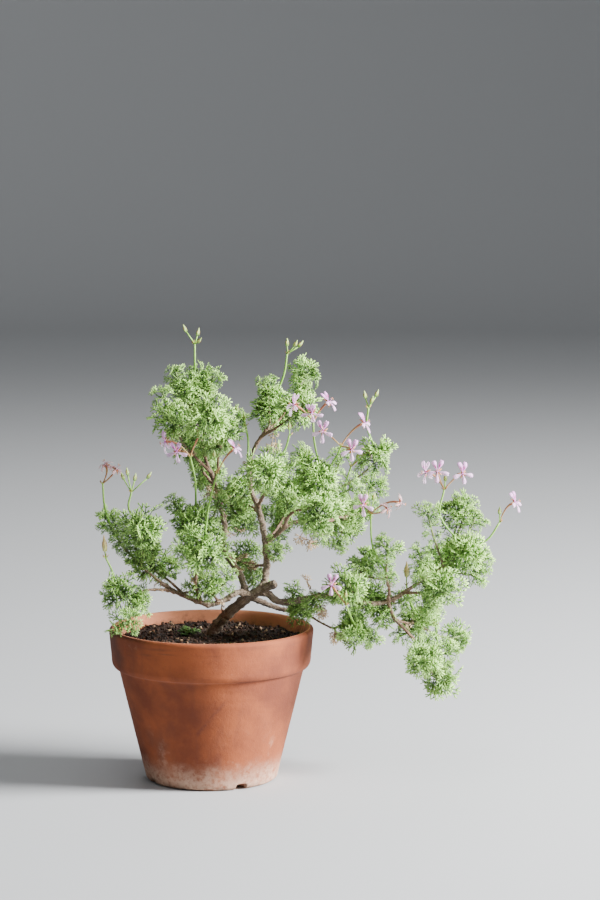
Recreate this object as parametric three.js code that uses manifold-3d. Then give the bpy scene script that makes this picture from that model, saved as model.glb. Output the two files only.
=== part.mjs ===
import * as THREE from 'three';
import { mergeVertices } from 'three/addons/utils/BufferGeometryUtils.js';
import Module from 'manifold-3d';

const wasm = await Module();
wasm.setup();

// Driving dimensions in millimetres. The origin is the middle of the pot's foot, +Z is up,
// and -Y is the side that the plant shows to a viewer in front of it.
const POT_HEIGHT = 120;
const RIM_RADIUS = 80;
const COLLAR_HEIGHT = 30;
const COLLAR_LOW_RADIUS = 77.5;
const BODY_TOP_RADIUS = 72.3;
const BODY_LOW_RADIUS = 52.5;
const FOOT_RADIUS = 48;
const FOOT_ROUNDING = 7;
const LIP_WIDTH = 6;
const WALL = 6.5;
const POT_FLOOR = 8;
const POT_SIDES = 32;
const DRAIN_COUNT = 4;
const DRAIN_RADIUS = 4;
const DRAIN_FROM_AXIS = 30;
const FIRST_DRAIN_ANGLE = -62;
const NOTCH_WIDTH = 9.5;
const NOTCH_HEIGHT = 5;
const SOIL_LEVEL = 110;
const SOIL_LUMP = 3;
const GAP = 0.3;
const SEEDLING_X = -19;
const SEEDLING_Y = 20;
const SEEDLING_REACH = 10;
const SEEDLING_ROOT = 6;
const SHOOT_RADIUS = 1.05;
const SHOOT_STEPS = 3;
const STALK_RADIUS = 0.85;
const PEDICEL_RADIUS = 0.6;
const CALYX_RADIUS = 0.95;
const BUD_LENGTH = 6.5;
const BUD_RADIUS = 1.25;
const POD_LENGTH = 13;
const POD_RADIUS = 1.9;
const THROAT_DEPTH = 2.2;
const UPPER_PETAL = 8.6;
const LOWER_PETAL = 8.2;
const PETAL_WIDTH = 3.2;

// A leaf: thickness at its middle, petiole, and how its blade is cut, folded and drooped.
const LEAF_KEEL = 1.2;
const PETIOLE_WIDTH = 1;
const PETIOLE_ROOT = 0.56;
const PETIOLE_SHARE = 0.3;
const WIDE_FAN = 200;
const NARROW_FAN = 168;
const LOBE_NOTCH = 0.44;
const FINGER_NOTCH = 0.56;
const BLADE_CUP = 0.26;
const BLADE_DROOP = 0.5;

// A tuft: one leaf for so many millimetres of its reach, set round it by a fixed angle, on a core
// that is a share of the reach.
const LEAF_SPACING = 3.7;
const TURN_TO_NEXT = 137.5;
const CORE_SHARE = 0.36;
const CORE_STRETCH = 1.2;
const LEAF_FROM_MIDDLE = 0.2;
const LONGEST_LEAF = 0.9;
const SHORTEST_LEAF = 0.8;
const LEAF_ATTEMPTS = 9;

// Trunk, branches and bare twigs: points along the middle, thickness at both ends as radii,
// sides of the section and steps along it. A branch starts inside the one that bears it.
const WOOD = {
  trunk: {
    points: [[-12, 22, 84], [-1, 12, 110], [11, 6, 127], [22, 0, 137], [32, -4, 145], [41, -8, 151],
      [50, -12, 155]],
    radii: [4.9, 3.1], sides: 7, steps: 7,
  },
  left: {
    points: [[32, -4, 145], [20, -12, 148], [11, -15, 143], [-1, -18, 140], [-19, -18, 146], [-31, -18, 152],
      [-38, -18, 157]],
    radii: [2.4, 1.5], sides: 5, steps: 8,
  },
  left_low: { points: [[-21, -18, 147], [-34, -29, 153], [-46, -40, 155]], radii: [1.3, 1] },
  left_back: { points: [[-19, -18, 146], [-26, -9, 151], [-32, -1, 155]], radii: [1.3, 1] },
  left_peg: { points: [[-7, -18, 141.5], [-14, -15, 149], [-24, -14, 147]], radii: [1, 0.9] },
  centre_pale: { points: [[-7, -18, 141.5], [-11, -30, 155], [-10, -40, 169]], radii: [1.4, 1.1] },
  centre_low: { points: [[6, -17, 141.5], [4, -21, 145.5]], radii: [1.2, 1], steps: 1 },
  high_left: {
    points: [[28, -2, 142], [22, 8, 159], [14, 12, 170], [9, 14, 179], [10, 18, 196], [7, 20, 211],
      [2, 20, 230], [-4, 21, 246], [-10, 23, 266]],
    radii: [2.5, 1.2], sides: 5, steps: 9,
  },
  high_left_back: { points: [[8, 19, 205], [3, 34, 213], [-2, 50, 219]], radii: [1.2, 0.9] },
  high_left_side: { points: [[3, 20, 226], [-6, 28, 236], [-11, 36, 243]], radii: [1.2, 0.9] },
  high_left_front: { points: [[-1, 20, 238], [-10, 8, 249], [-17, -3, 258]], radii: [1.2, 0.9] },
  high_centre: { points: [[2, 20, 230], [5, 4, 243], [6, -8, 254]], radii: [1.3, 1] },
  upright: {
    points: [[38, -7, 149], [42, 0, 156], [43, 3, 167], [42, 5, 184], [39, 6, 203], [36, 6, 213],
      [31, 8, 226], [30, 9, 246], [35, 10, 261], [43, 10, 272]],
    radii: [2.8, 1.3], sides: 5, steps: 11,
  },
  upright_front: { points: [[36, 6, 213], [40, -12, 222], [42, -24, 230]], radii: [1.3, 1] },
  upright_dark: { points: [[38, 6, 206], [33, 18, 210], [29, 26, 211]], radii: [1.2, 0.9] },
  upright_back: { points: [[42, 5, 184], [49, 22, 190], [54, 38, 196]], radii: [1.3, 0.9] },
  upright_low_back: { points: [[43, 3, 167], [37, 22, 164], [32, 38, 160]], radii: [1.3, 0.9] },
  upright_sprig: { points: [[42.5, 4, 173], [47, 1, 175]], radii: [1, 0.8], steps: 1 },
  upright_spur: { points: [[30, 9, 246], [28.5, 3, 250]], radii: [1, 0.8], steps: 1 },
  top_right: { points: [[38, 10, 266.5], [48, 4, 273], [55, 0, 278]], radii: [1.2, 0.9] },
  top_back: { points: [[40, 10, 269], [54, 22, 280], [62, 33, 292]], radii: [1.1, 0.9] },
  middle_right: {
    points: [[42, 5, 184], [56, 0, 196], [66, 0, 202], [84, 0, 201], [99, 14, 203]],
    radii: [1.7, 1.1], steps: 5,
  },
  middle_right_high: { points: [[56, 0, 196], [62, -6, 209], [79, -12, 215]], radii: [1.4, 1], steps: 3 },
  middle_right_front: { points: [[72, 0, 201.5], [80, -14, 204], [83, -32, 207]], radii: [1.2, 0.9] },
  middle_right_top: { points: [[72, -10, 212], [88, -6, 221], [104, 2, 230]], radii: [1.1, 0.9] },
  right: {
    points: [[36, -6, 148], [45, -8, 146], [53, -12, 141], [69, -16, 143], [90, -18, 147], [108, -14, 142],
      [125, -8, 139], [137, -4, 140], [151, 0, 147], [170, 0, 160]],
    radii: [2.7, 1.3], sides: 5, steps: 12,
  },
  right_front: { points: [[82, -17, 146], [91, -28, 149]], radii: [1.3, 1], steps: 1 },
  right_middle: { points: [[123, -9, 139.5], [126, -1, 139]], radii: [1.2, 1], steps: 1 },
  right_back: { points: [[106, -14, 142], [110, 6, 147], [114, 24, 152]], radii: [1.3, 0.9] },
  right_upright: { points: [[137, -4, 140], [138, -14, 150], [136, -20, 159]], radii: [1.3, 1] },
  right_low: {
    points: [[137, -4, 140], [143, -6, 126], [151, -8, 118], [158, -8, 110]],
    radii: [1.5, 1.1], steps: 4,
  },
  right_low_back: { points: [[143, -6, 126], [149, 5, 122], [154, 12, 120]], radii: [1.2, 0.9] },
  far_back: { points: [[157, 0, 151], [164, 16, 153], [168, 30, 155]], radii: [1.2, 0.9] },
  far_front: { points: [[149, 0, 146], [160, -13, 148], [167, -24, 150]], radii: [1.2, 0.9] },
  low: {
    points: [[30, -3, 143], [44, 10, 135], [56, 16, 130], [66, 18, 128.5]],
    radii: [1.8, 1.2], steps: 4,
  },
  low_middle: { points: [[61, 17, 129], [66, 8, 131.5]], radii: [1, 0.9], steps: 1 },
  low_right: {
    points: [[66, 18, 128.5], [78, 10, 125], [88, 0, 121], [96, -4, 119], [106, -6, 125]],
    radii: [1.1, 0.8], steps: 5,
  },
  dead_fork: { points: [[95, -4, 119], [101, -8, 112], [107, -8, 107]], radii: [0.8, 0.6] },
  dead_spur: { points: [[11, 6, 127], [8, 0, 133], [9, -4, 139]], radii: [0.9, 0.6] },
};

// Withered leaves that still hang on the wood: branch, how far along it, length, and direction.
const WITHERED = [
  ['upright', 0.86, 10, [0.9, -0.5, -0.3]],
  ['high_left', 0.82, 9, [0.7, -0.8, -0.2]],
  ['middle_right', 0.12, 10, [0.5, -0.6, -0.8]],
  ['middle_right', 0.34, 9, [0.2, -0.7, -0.9]],
  ['high_left', 0.25, 9, [0.6, -0.6, 0.4]],
  ['right', 0.36, 10, [0.1, -0.6, 0.9]],
  ['right', 0.56, 10, [-0.2, -0.5, 0.9]],
];

// Leafy sprays. Each grows from the end of the named twig. A tuft is the middle of a shoot's
// leaves, and how far they reach. A stalk rises from a tuft and carries an umbel: blooms (middle,
// way they face, and withered or not), buds and seed pods.
const SPRAYS = {
  left_high: {
    twig: 'left',
    tufts: [[-77, -24, 203, 13], [-49, -52, 203, 17]],
    stalks: [
      {
        tuft: 0, points: [[-81, -26, 219], [-82, -26, 235]],
        blooms: [[[-80, -27, 250], [-0.3, -0.4, 0.85], 'withered'],
          [[-71, -30, 247], [0.5, -0.3, 0.8], 'withered']],
      },
      {
        tuft: 1, points: [[-61, -46, 218], [-59, -46, 231]],
        buds: [[-66, -46, 243], [-62, -49, 247], [-56, -44, 242], [-45, -44, 243]],
      },
    ],
  },
  left_back: { twig: 'left_back', tufts: [[-48, 12, 166, 16]] },
  left_low: {
    twig: 'left_low',
    tufts: [[-69, -58, 154, 15], [-63, -72, 135, 12]],
    stalks: [{ tuft: 0, points: [[-73, -60, 172], [-78, -60, 183]], pods: [[-79, -60, 193]] }],
  },
  centre_pale: {
    twig: 'centre_pale',
    tufts: [[-11, -32, 206, 17], [-4, -60, 187, 17]],
    stalks: [
      {
        tuft: 0, points: [[-11, -28, 236], [-15, -28, 256]],
        blooms: [[[-34, -36, 268], [-0.85, -0.4, -0.1]], [[-25, -33, 260], [-0.35, -0.85, -0.3]],
          [[-6, -30, 276], [0.45, -0.2, 0.8]]],
      },
      {
        tuft: 1, points: [[0, -50, 222], [6, -46, 245]],
        blooms: [[[20, -48, 265], [0.75, -0.2, 0.6]]], buds: [[4, -46, 260]],
      },
    ],
  },
  centre_low: { twig: 'centre_low', tufts: [[-2, -21, 156, 13]] },
  top_left: {
    twig: 'high_left',
    tufts: [[-13, 28, 303, 17]],
    stalks: [
      { tuft: 0, points: [[-13, 26, 324], [-13, 26, 338]], buds: [[-21, 22, 350], [-10, 26, 347], [-9, 22, 340]] },
    ],
  },
  left_top_front: { twig: 'high_left_front', tufts: [[-29, -22, 286, 16]] },
  left_top_side: { twig: 'high_left_side', tufts: [[-20, 52, 255, 15]] },
  left_top_back: { twig: 'high_left_back', tufts: [[-7, 80, 228, 13]] },
  top_centre: { twig: 'high_centre', tufts: [[14, -12, 276, 14], [-1, -48, 289, 17]] },
  middle_stalk: {
    twig: 'upright_spur',
    stalks: [{ points: [[29, -1, 265], [27, -2, 277]], buds: [[20, -2, 290], [26, -4, 284]] }],
  },
  top: {
    twig: 'upright',
    tufts: [[44, 34, 285, 18]],
    stalks: [
      { tuft: 0, points: [[56, 30, 312], [59, 28, 330]], buds: [[59, 26, 339], [66, 22, 338], [70, 28, 337]] },
    ],
  },
  top_right: { twig: 'top_right', tufts: [[67, -8, 291, 15]] },
  top_back: { twig: 'top_back', tufts: [[74, 52, 314, 13]] },
  middle_front: {
    twig: 'upright_front',
    tufts: [[43, -55, 249, 17]],
    stalks: [{ tuft: 0, points: [[57, -44, 262], [61, -42, 274]], buds: [[61, -42, 281]] }],
  },
  middle_dark: { twig: 'upright_dark', tufts: [[25, 15, 226, 13], [25, 50, 198, 13]] },
  middle_back: { twig: 'upright_back', tufts: [[59, 72, 215, 17]] },
  low_back: { twig: 'upright_low_back', tufts: [[22, 80, 165, 13], [35, 64, 147, 11]] },
  sprig: { twig: 'upright_sprig', tufts: [[51, -6, 181, 9]] },
  right_high: {
    twig: 'middle_right_high',
    tufts: [[86, -40, 241, 18]],
    stalks: [
      {
        tuft: 0, points: [[80, -38, 268], [79, -37, 283]],
        blooms: [[[64, -40, 297], [-0.8, -0.45, 0.35]], [[78, -43, 291], [-0.2, -0.8, -0.5]],
          [[91, -34, 299], [0.7, -0.3, 0.6]]],
      },
      {
        tuft: 0, points: [[97, -42, 258], [100, -44, 266]],
        blooms: [[[86, -52, 278], [-0.3, -0.95, 0.1]], [[108, -53, 264], [0.1, -0.95, -0.2]],
          [[118, -46, 284], [0.85, -0.3, 0.4]]],
      },
    ],
  },
  right_front: { twig: 'middle_right_front', tufts: [[83, -70, 217, 16]] },
  right_side: {
    twig: 'middle_right',
    tufts: [[105, 45, 201, 16], [126, 68, 220, 12]],
    stalks: [
      {
        tuft: 0, points: [[105, 38, 226], [109, 30, 241]],
        blooms: [[[123, 24, 254], [0.7, -0.3, 0.6], 'withered']], buds: [[109, 28, 254], [115, 26, 250]],
      },
    ],
  },
  right_top: {
    twig: 'middle_right_top',
    tufts: [[130, 12, 251, 14]],
    stalks: [
      { tuft: 0, points: [[121, 8, 275], [122, 6, 290]], buds: [[119, 6, 300], [129, 6, 301], [125, 4, 296]] },
    ],
  },
  lower_front: { twig: 'right_front', tufts: [[105, -34, 156, 16]] },
  lower_middle: { twig: 'right_middle', tufts: [[130, 9, 140, 14]] },
  lower_back: { twig: 'right_back', tufts: [[118, 62, 160, 13]] },
  lower_upright: {
    twig: 'right_upright',
    tufts: [[136, -30, 186, 11]],
    stalks: [
      {
        from: [136, -23.5, 165], points: [[125, -28, 185], [123, -28, 212]],
        blooms: [[[117, -39, 220], [-0.3, -0.9, 0]], [[136, -36, 217], [0.6, -0.5, 0.5], 'withered'],
          [[146, -34, 221], [0.8, -0.3, -0.2], 'withered']],
        buds: [[120, -28, 226], [126, -26, 225]],
      },
    ],
  },
  low_front: {
    twig: 'low_right',
    tufts: [[115, -36, 119, 13]],
    stalks: [
      {
        tuft: 0, points: [[108, -44, 134], [104, -50, 145]],
        blooms: [[[93, -54, 161], [-0.2, -0.85, 0.4]]], buds: [[104, -50, 153]],
      },
    ],
  },
  low_middle: { twig: 'low_middle', tufts: [[69, -5, 133, 11]] },
  far_right: {
    twig: 'right',
    tufts: [[196, -12, 184, 18], [167, -34, 212, 10], [194, 26, 206, 15]],
    stalks: [
      {
        tuft: 0, points: [[177, -14, 208], [180, -15, 229]],
        blooms: [[[165, -21, 243], [-0.75, -0.6, 0.1]], [[174, -31, 245], [0, -0.95, 0.2]],
          [[194, -20, 242], [0.35, -0.9, 0.15]]],
        buds: [[181, -14, 238]],
      },
      {
        tuft: 0, points: [[213, -12, 189], [223, -12, 203]],
        blooms: [[[235, -14, 219], [0.8, -0.4, 0.35]]], buds: [[223, -12, 212]],
      },
    ],
  },
  far_back: { twig: 'far_back', tufts: [[177, 62, 160, 15]] },
  far_front: { twig: 'far_front', tufts: [[179, -50, 155, 15]] },
  low_far: {
    twig: 'right_low_back',
    tufts: [[163, 23, 121, 14], [194, 30, 106, 13]],
    stalks: [{ tuft: 0, points: [[155, 12, 137], [152, 6, 151]], pods: [[152, 4, 163]] }],
  },
  lowest: {
    twig: 'right_low',
    tufts: [[161, -40, 100, 15], [179, 10, 77, 15]],
    stalks: [{ tuft: 1, points: [[176, 0, 104], [175, -1, 121]], buds: [[176, -1, 133]] }],
  },
};

const vector = (point) => new THREE.Vector3(point[0], point[1], point[2]);
const radians = (degrees) => THREE.MathUtils.degToRad(degrees);
const mix = (a, b, share) => a + (b - a) * share;

// Random numbers from a fixed seed, so that the plant is the same each time.
function seeded(seed) {
  let state = seed;
  return () => {
    state = (state + 0x6d2b79f5) | 0;
    let bits = Math.imul(state ^ (state >>> 15), 1 | state);
    bits = (bits + Math.imul(bits ^ (bits >>> 7), 61 | bits)) ^ bits;
    return ((bits ^ (bits >>> 14)) >>> 0) / 4294967296;
  };
}

// A closed geometry as a solid, with its faces turned outwards.
function solidFrom(geometry) {
  const bare = geometry.index ? geometry.clone() : mergeVertices(geometry);
  bare.deleteAttribute('normal');
  bare.deleteAttribute('uv');
  const merged = mergeVertices(bare, 1e-3);
  const places = merged.attributes.position.array;
  const triangles = [];
  let volume = 0;
  for (let i = 0; i < merged.index.count; i += 3) {
    const [a, b, c] = merged.index.array.slice(i, i + 3);
    if (a !== b && b !== c && c !== a) {
      const [p, q, r] = [a, b, c].map((k) => new THREE.Vector3().fromArray(places, k * 3));
      volume += p.dot(q.cross(r));
      triangles.push([a, b, c]);
    }
  }
  const turned = volume < 0 ? triangles.map(([a, b, c]) => [a, c, b]) : triangles;
  return new wasm.Manifold(new wasm.Mesh({
    numProp: 3,
    vertProperties: new Float32Array(places),
    triVerts: new Uint32Array(turned.flat()),
  }));
}

function joined(solids) {
  let round = solids;
  while (round.length > 1) {
    const next = [];
    for (let i = 0; i < round.length; i += 2) {
      next.push(i + 1 < round.length ? round[i].add(round[i + 1]) : round[i]);
    }
    round = next;
  }
  return outerBody(round[0]);
}

// The largest outer surface alone: a hollow that fusing seals is filled, a loose scrap is dropped.
function outerBody(solid) {
  return solid.decompose().reduce((best, part) => (part.volume() > best.volume() ? part : best));
}

function meshOf(name, solid, material) {
  const { vertProperties, triVerts } = solid.getMesh();
  const geometry = new THREE.BufferGeometry();
  geometry.setAttribute('position', new THREE.BufferAttribute(new Float32Array(vertProperties), 3));
  geometry.setIndex(new THREE.BufferAttribute(new Uint32Array(triVerts), 1));
  geometry.computeVertexNormals();
  const mesh = new THREE.Mesh(geometry, material);
  mesh.name = name;
  return mesh;
}

// A round stem along a curve, thinner from its start to its end.
function stem(curve, startRadius, endRadius, sides, steps) {
  const geometry = new THREE.CylinderGeometry(1, 1, 1, sides, steps);
  const frames = curve.computeFrenetFrames(steps, false);
  const centres = curve.getSpacedPoints(steps);
  const place = geometry.attributes.position;
  for (let i = 0; i < place.count; i += 1) {
    const row = Math.round((place.getY(i) + 0.5) * steps);
    const radius = mix(startRadius, endRadius, row / steps);
    const point = centres[row].clone()
      .addScaledVector(frames.normals[row], place.getX(i) * radius)
      .addScaledVector(frames.binormals[row], -place.getZ(i) * radius);
    place.setXYZ(i, point.x, point.y, point.z);
  }
  return geometry;
}

// The first joint on the middle of a stem made of that many straight steps.
const firstJoint = (curve, steps) => curve.getSpacedPoints(steps)[1];

const throughPoints = (points) => new THREE.CatmullRomCurve3(points.map(vector), false, 'centripetal');

function turned([x, y], degrees) {
  const [cos, sin] = [Math.cos(radians(degrees)), Math.sin(radians(degrees))];
  return [x * cos - y * sin, x * sin + y * cos];
}

function latheSolid(profile, sides) {
  const points = profile.map(([radius, height]) => new THREE.Vector2(radius, height));
  return new THREE.LatheGeometry(points, sides).rotateX(Math.PI / 2);
}

// The pot: turned wall with a thick collar, a rounded foot, drain holes and notches under the foot.
function potSolid() {
  const collarBottom = POT_HEIGHT - COLLAR_HEIGHT;
  const profile = [
    [0, 0],
    [FOOT_RADIUS, 0],
    [FOOT_RADIUS + 3.2, 1.6],
    [BODY_LOW_RADIUS, FOOT_ROUNDING],
    [BODY_TOP_RADIUS, collarBottom - 2],
    [COLLAR_LOW_RADIUS - 1.6, collarBottom - 0.6],
    [COLLAR_LOW_RADIUS, collarBottom + 2],
    [RIM_RADIUS, POT_HEIGHT - 2],
    [RIM_RADIUS - LIP_WIDTH * 0.5, POT_HEIGHT],
    [RIM_RADIUS - LIP_WIDTH, POT_HEIGHT - 2.4],
    [BODY_TOP_RADIUS - WALL, collarBottom],
    [BODY_LOW_RADIUS - WALL, POT_FLOOR],
    [0, POT_FLOOR],
  ];
  let pot = solidFrom(latheSolid(profile, POT_SIDES));
  for (let i = 0; i < DRAIN_COUNT; i += 1) {
    const angle = radians(FIRST_DRAIN_ANGLE - 90 + (360 / DRAIN_COUNT) * i);
    const drain = new THREE.CylinderGeometry(DRAIN_RADIUS, DRAIN_RADIUS, POT_FLOOR * 3, 8)
      .rotateX(Math.PI / 2)
      .translate(DRAIN_FROM_AXIS, 0, 0)
      .rotateZ(angle);
    const reach = FOOT_RADIUS + 10 - DRAIN_FROM_AXIS;
    const notch = new THREE.BoxGeometry(reach, NOTCH_WIDTH, NOTCH_HEIGHT * 2)
      .translate(DRAIN_FROM_AXIS + reach / 2, 0, 0)
      .rotateZ(angle);
    pot = pot.subtract(solidFrom(drain)).subtract(solidFrom(notch));
  }
  return pot;
}

// Height of the crumbly soil over its level.
function lump(x, y) {
  const broad = Math.sin(x * 0.11 + 0.6) * Math.cos(y * 0.13 - 0.4);
  const small = Math.sin(x * 0.41 + y * 0.17) * Math.sin(y * 0.37 - x * 0.12 + 1.3);
  return SOIL_LUMP * (0.55 * broad + 0.45 * small);
}

// The soil fills the pot, a hair clear of its wall, with plain holes for the trunk and the seedling.
function soilSolid(holes) {
  const collarBottom = POT_HEIGHT - COLLAR_HEIGHT;
  const wallRise = (SOIL_LEVEL - collarBottom) / (COLLAR_HEIGHT - 2.4);
  const topRadius = mix(BODY_TOP_RADIUS - WALL, RIM_RADIUS - LIP_WIDTH, wallRise) - GAP;
  const rings = [0.97, 0.55].map((share) => [topRadius * share, SOIL_LEVEL]);
  const profile = [
    [0, POT_FLOOR + GAP],
    [BODY_LOW_RADIUS - WALL - GAP, POT_FLOOR + GAP],
    [BODY_TOP_RADIUS - WALL - GAP, collarBottom],
    [topRadius, SOIL_LEVEL - 1],
    ...rings,
    [0, SOIL_LEVEL],
  ];
  const geometry = latheSolid(profile, POT_SIDES);
  const place = geometry.attributes.position;
  for (let i = 0; i < place.count; i += 1) {
    if (place.getZ(i) > SOIL_LEVEL - 0.1) {
      place.setZ(i, SOIL_LEVEL + lump(place.getX(i), place.getY(i)));
    }
  }
  return holes.reduce((soil, hole) => soil.subtract(hole), solidFrom(geometry));
}

// A thin blade from its outline. Its lower face is drawn together to a few points, so every finger
// is a three-sided spike with a ridge below. The whole blade is then bent by a formula.
function blade(outline, lowerPoint, bend) {
  const shape = new THREE.Shape(outline.map(([x, y]) => new THREE.Vector2(x, y)));
  const geometry = new THREE.ExtrudeGeometry(shape, { depth: 1, bevelEnabled: false });
  const place = geometry.attributes.position;
  for (let i = 0; i < place.count; i += 1) {
    const upper = place.getZ(i) > 0.5;
    const [x, y, drop] = upper ? [place.getX(i), place.getY(i), 0] : lowerPoint(place.getX(i));
    place.setXYZ(i, x, y, bend(x, y) - drop);
  }
  return geometry;
}

// One leaf lying along +X: a petiole and a fan cut into fingers, every second notch a deep one
// between lobes. A clearance makes it that much thicker all round.
function leaf(length, fingers, clearance) {
  const petiole = length * PETIOLE_SHARE;
  const fan = length - petiole;
  const spread = fingers > 5 ? WIDE_FAN : NARROW_FAN;
  const half = PETIOLE_WIDTH / 2 + clearance;
  const rootHalf = PETIOLE_ROOT / 2 + clearance;
  const outline = [[0, -rootHalf], [petiole, -half]];
  const step = spread / (fingers - 1);
  for (let i = 0; i < fingers; i += 1) {
    const degrees = step * i - spread / 2;
    const reach = fan * (i % 2 === 0 ? mix(0.88, 1, Math.cos(radians(degrees))) : 0.84);
    outline.push(turned([reach, 0], degrees));
    if (i < fingers - 1) {
      const depth = fan * (i % 2 === 0 ? FINGER_NOTCH : LOBE_NOTCH) + clearance;
      outline.push(turned([depth, 0], degrees + step / 2));
    }
  }
  const placed = outline.map(([x, y], i) => (i < 2 ? [x, y] : [petiole + x, y]));
  placed.push([petiole, half], [0, rootHalf]);
  const keel = [petiole + fan * 0.1, 0, LEAF_KEEL + 2 * clearance];
  const lowerPoint = (x) => (x < 0.1 ? [0, 0, 2 * rootHalf] : keel);
  const bend = (x, y) => rootHalf + BLADE_CUP * Math.abs(y) - BLADE_DROOP * Math.max(0, x - petiole);
  return blade(placed, lowerPoint, bend);
}

// Turns what lies along +X with its face to +Z so that it points along one way and faces another.
function turnTo(along, facing, at) {
  const x = along.clone().normalize();
  const y = facing.clone().cross(x).normalize();
  const z = x.clone().cross(y);
  return new THREE.Matrix4().makeBasis(x, y, z).setPosition(at);
}

// A bloom looking along +Z with its upper petals to +Y: two upright petals and three spreading
// ones round one throat, which runs back to a point.
function bloomSolid(withered) {
  const size = withered ? 0.72 : 1;
  const petals = [[70, UPPER_PETAL], [110, UPPER_PETAL], ...[200, 270, 340].map((angle) => [angle, LOWER_PETAL])];
  const half = (PETAL_WIDTH * (withered ? 0.5 : 1)) / 2;
  const outline = petals.flatMap(([angle, fullLength], i) => {
    const length = fullLength * size;
    const wide = length * 0.66;
    const next = petals[(i + 1) % petals.length][0] + (i === petals.length - 1 ? 360 : 0);
    const petal = [[wide, -half], [length, -half * 0.55], [length, half * 0.55], [wide, half]];
    return [...petal.map((point) => turned(point, angle)), turned([1.1, 0], (angle + next) / 2)];
  });
  const lift = withered ? 1.1 : 0.5;
  const bend = (x, y) => lift * Math.hypot(x, y) - 0.035 * (x * x + y * y);
  return solidFrom(blade(outline, () => [0, 0, THROAT_DEPTH], bend));
}

// A bud or a seed pod standing along +Z: a spindle with its widest place at a third of its length.
const spindle = (length, radius) => latheSolid([[0, -1], [radius, length * 0.4], [0, length]], 4);

const materials = {
  clay: new THREE.MeshStandardMaterial({ color: '#b8694a', roughness: 0.9, metalness: 0 }),
  soil: new THREE.MeshStandardMaterial({ color: '#2e2119', roughness: 1, metalness: 0 }),
  bark: new THREE.MeshStandardMaterial({ color: '#8a6b52', roughness: 0.95, metalness: 0 }),
  leaf: new THREE.MeshStandardMaterial({ color: '#8fae7f', roughness: 0.8, metalness: 0 }),
  seedling: new THREE.MeshStandardMaterial({ color: '#5c8a35', roughness: 0.8, metalness: 0 }),
  petal: new THREE.MeshStandardMaterial({ color: '#ecc9e2', roughness: 0.6, metalness: 0 }),
  witheredPetal: new THREE.MeshStandardMaterial({ color: '#c98d86', roughness: 0.8, metalness: 0 }),
};

const plant = new THREE.Group();
const draw = seeded(20417);

// What leaves keep clear of: each solid with its box and the spray that it belongs to.
const obstacles = [];
function keepClearOf(solid, spray) {
  obstacles.push({ solid, spray, box: solid.boundingBox() });
}
function boxesMeet(a, b) {
  return [0, 1, 2].every((k) => a.min[k] < b.max[k] && b.min[k] < a.max[k]);
}
// A leaf is fused to its own core, crosses nothing else of its spray, and stays a little away
// from every other spray.
function isClear(leafSolid, thickSolid, spray, core) {
  const box = thickSolid.boundingBox();
  return obstacles.every((other) => {
    if (other.solid === core || !boxesMeet(box, other.box)) return true;
    const tested = other.spray === spray ? leafSolid : thickSolid;
    return tested.intersect(other.solid).isEmpty();
  });
}

// Wood.
const branches = {};
const woodSolids = [];
for (const [name, { points, radii, sides = 3, steps = 2 }] of Object.entries(WOOD)) {
  const curve = throughPoints(points);
  const solid = solidFrom(stem(curve, radii[0], radii[1], sides, steps));
  branches[name] = { curve, radii };
  woodSolids.push(solid);
  keepClearOf(solid, 'wood');
}
for (const [branch, share, length, way] of WITHERED) {
  const at = branches[branch].curve.getPointAt(share);
  const dry = leaf(length, 5, 0).applyMatrix4(turnTo(vector(way), new THREE.Vector3(0.3, -0.2, 1), at));
  const solid = solidFrom(dry);
  woodSolids.push(solid);
  keepClearOf(solid, 'wood');
}

// Pot, soil and the seedling in it.
const { radii: trunkRadii, sides: trunkSides, steps: trunkSteps } = WOOD.trunk;
const [holeLow, holeHigh] = trunkRadii.map((radius) => radius + GAP);
const trunkHole = solidFrom(stem(branches.trunk.curve, holeLow, holeHigh, trunkSides, trunkSteps)
  .translate(0, 0, -GAP));
const seedlingZ = SOIL_LEVEL + lump(SEEDLING_X, SEEDLING_Y);
const seedlingFingers = 14;
const seedlingOutline = [];
for (let i = 0; i < seedlingFingers; i += 1) {
  const step = 360 / seedlingFingers;
  seedlingOutline.push(turned([SEEDLING_REACH * (i % 2 === 0 ? 1 : 0.72), 0], i * step));
  seedlingOutline.push(turned([SEEDLING_REACH * 0.3, 0], (i + 0.5) * step));
}
const seedlingBend = (x, y) => 2.4 + 0.85 * Math.hypot(x, y) - 0.02 * (x * x + y * y);
const seedling = solidFrom(blade(seedlingOutline, () => [0, 0, SEEDLING_ROOT], seedlingBend)
  .translate(SEEDLING_X, SEEDLING_Y, seedlingZ));
const seedlingHole = solidFrom(latheSolid([[0, -5], [8, 4], [0, 5]], 8)
  .translate(SEEDLING_X, SEEDLING_Y, seedlingZ));
const pot = potSolid();
const soil = soilSolid([trunkHole, seedlingHole]);
keepClearOf(pot, 'pot');
keepClearOf(soil, 'soil');
keepClearOf(seedling, 'seedling');

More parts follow.
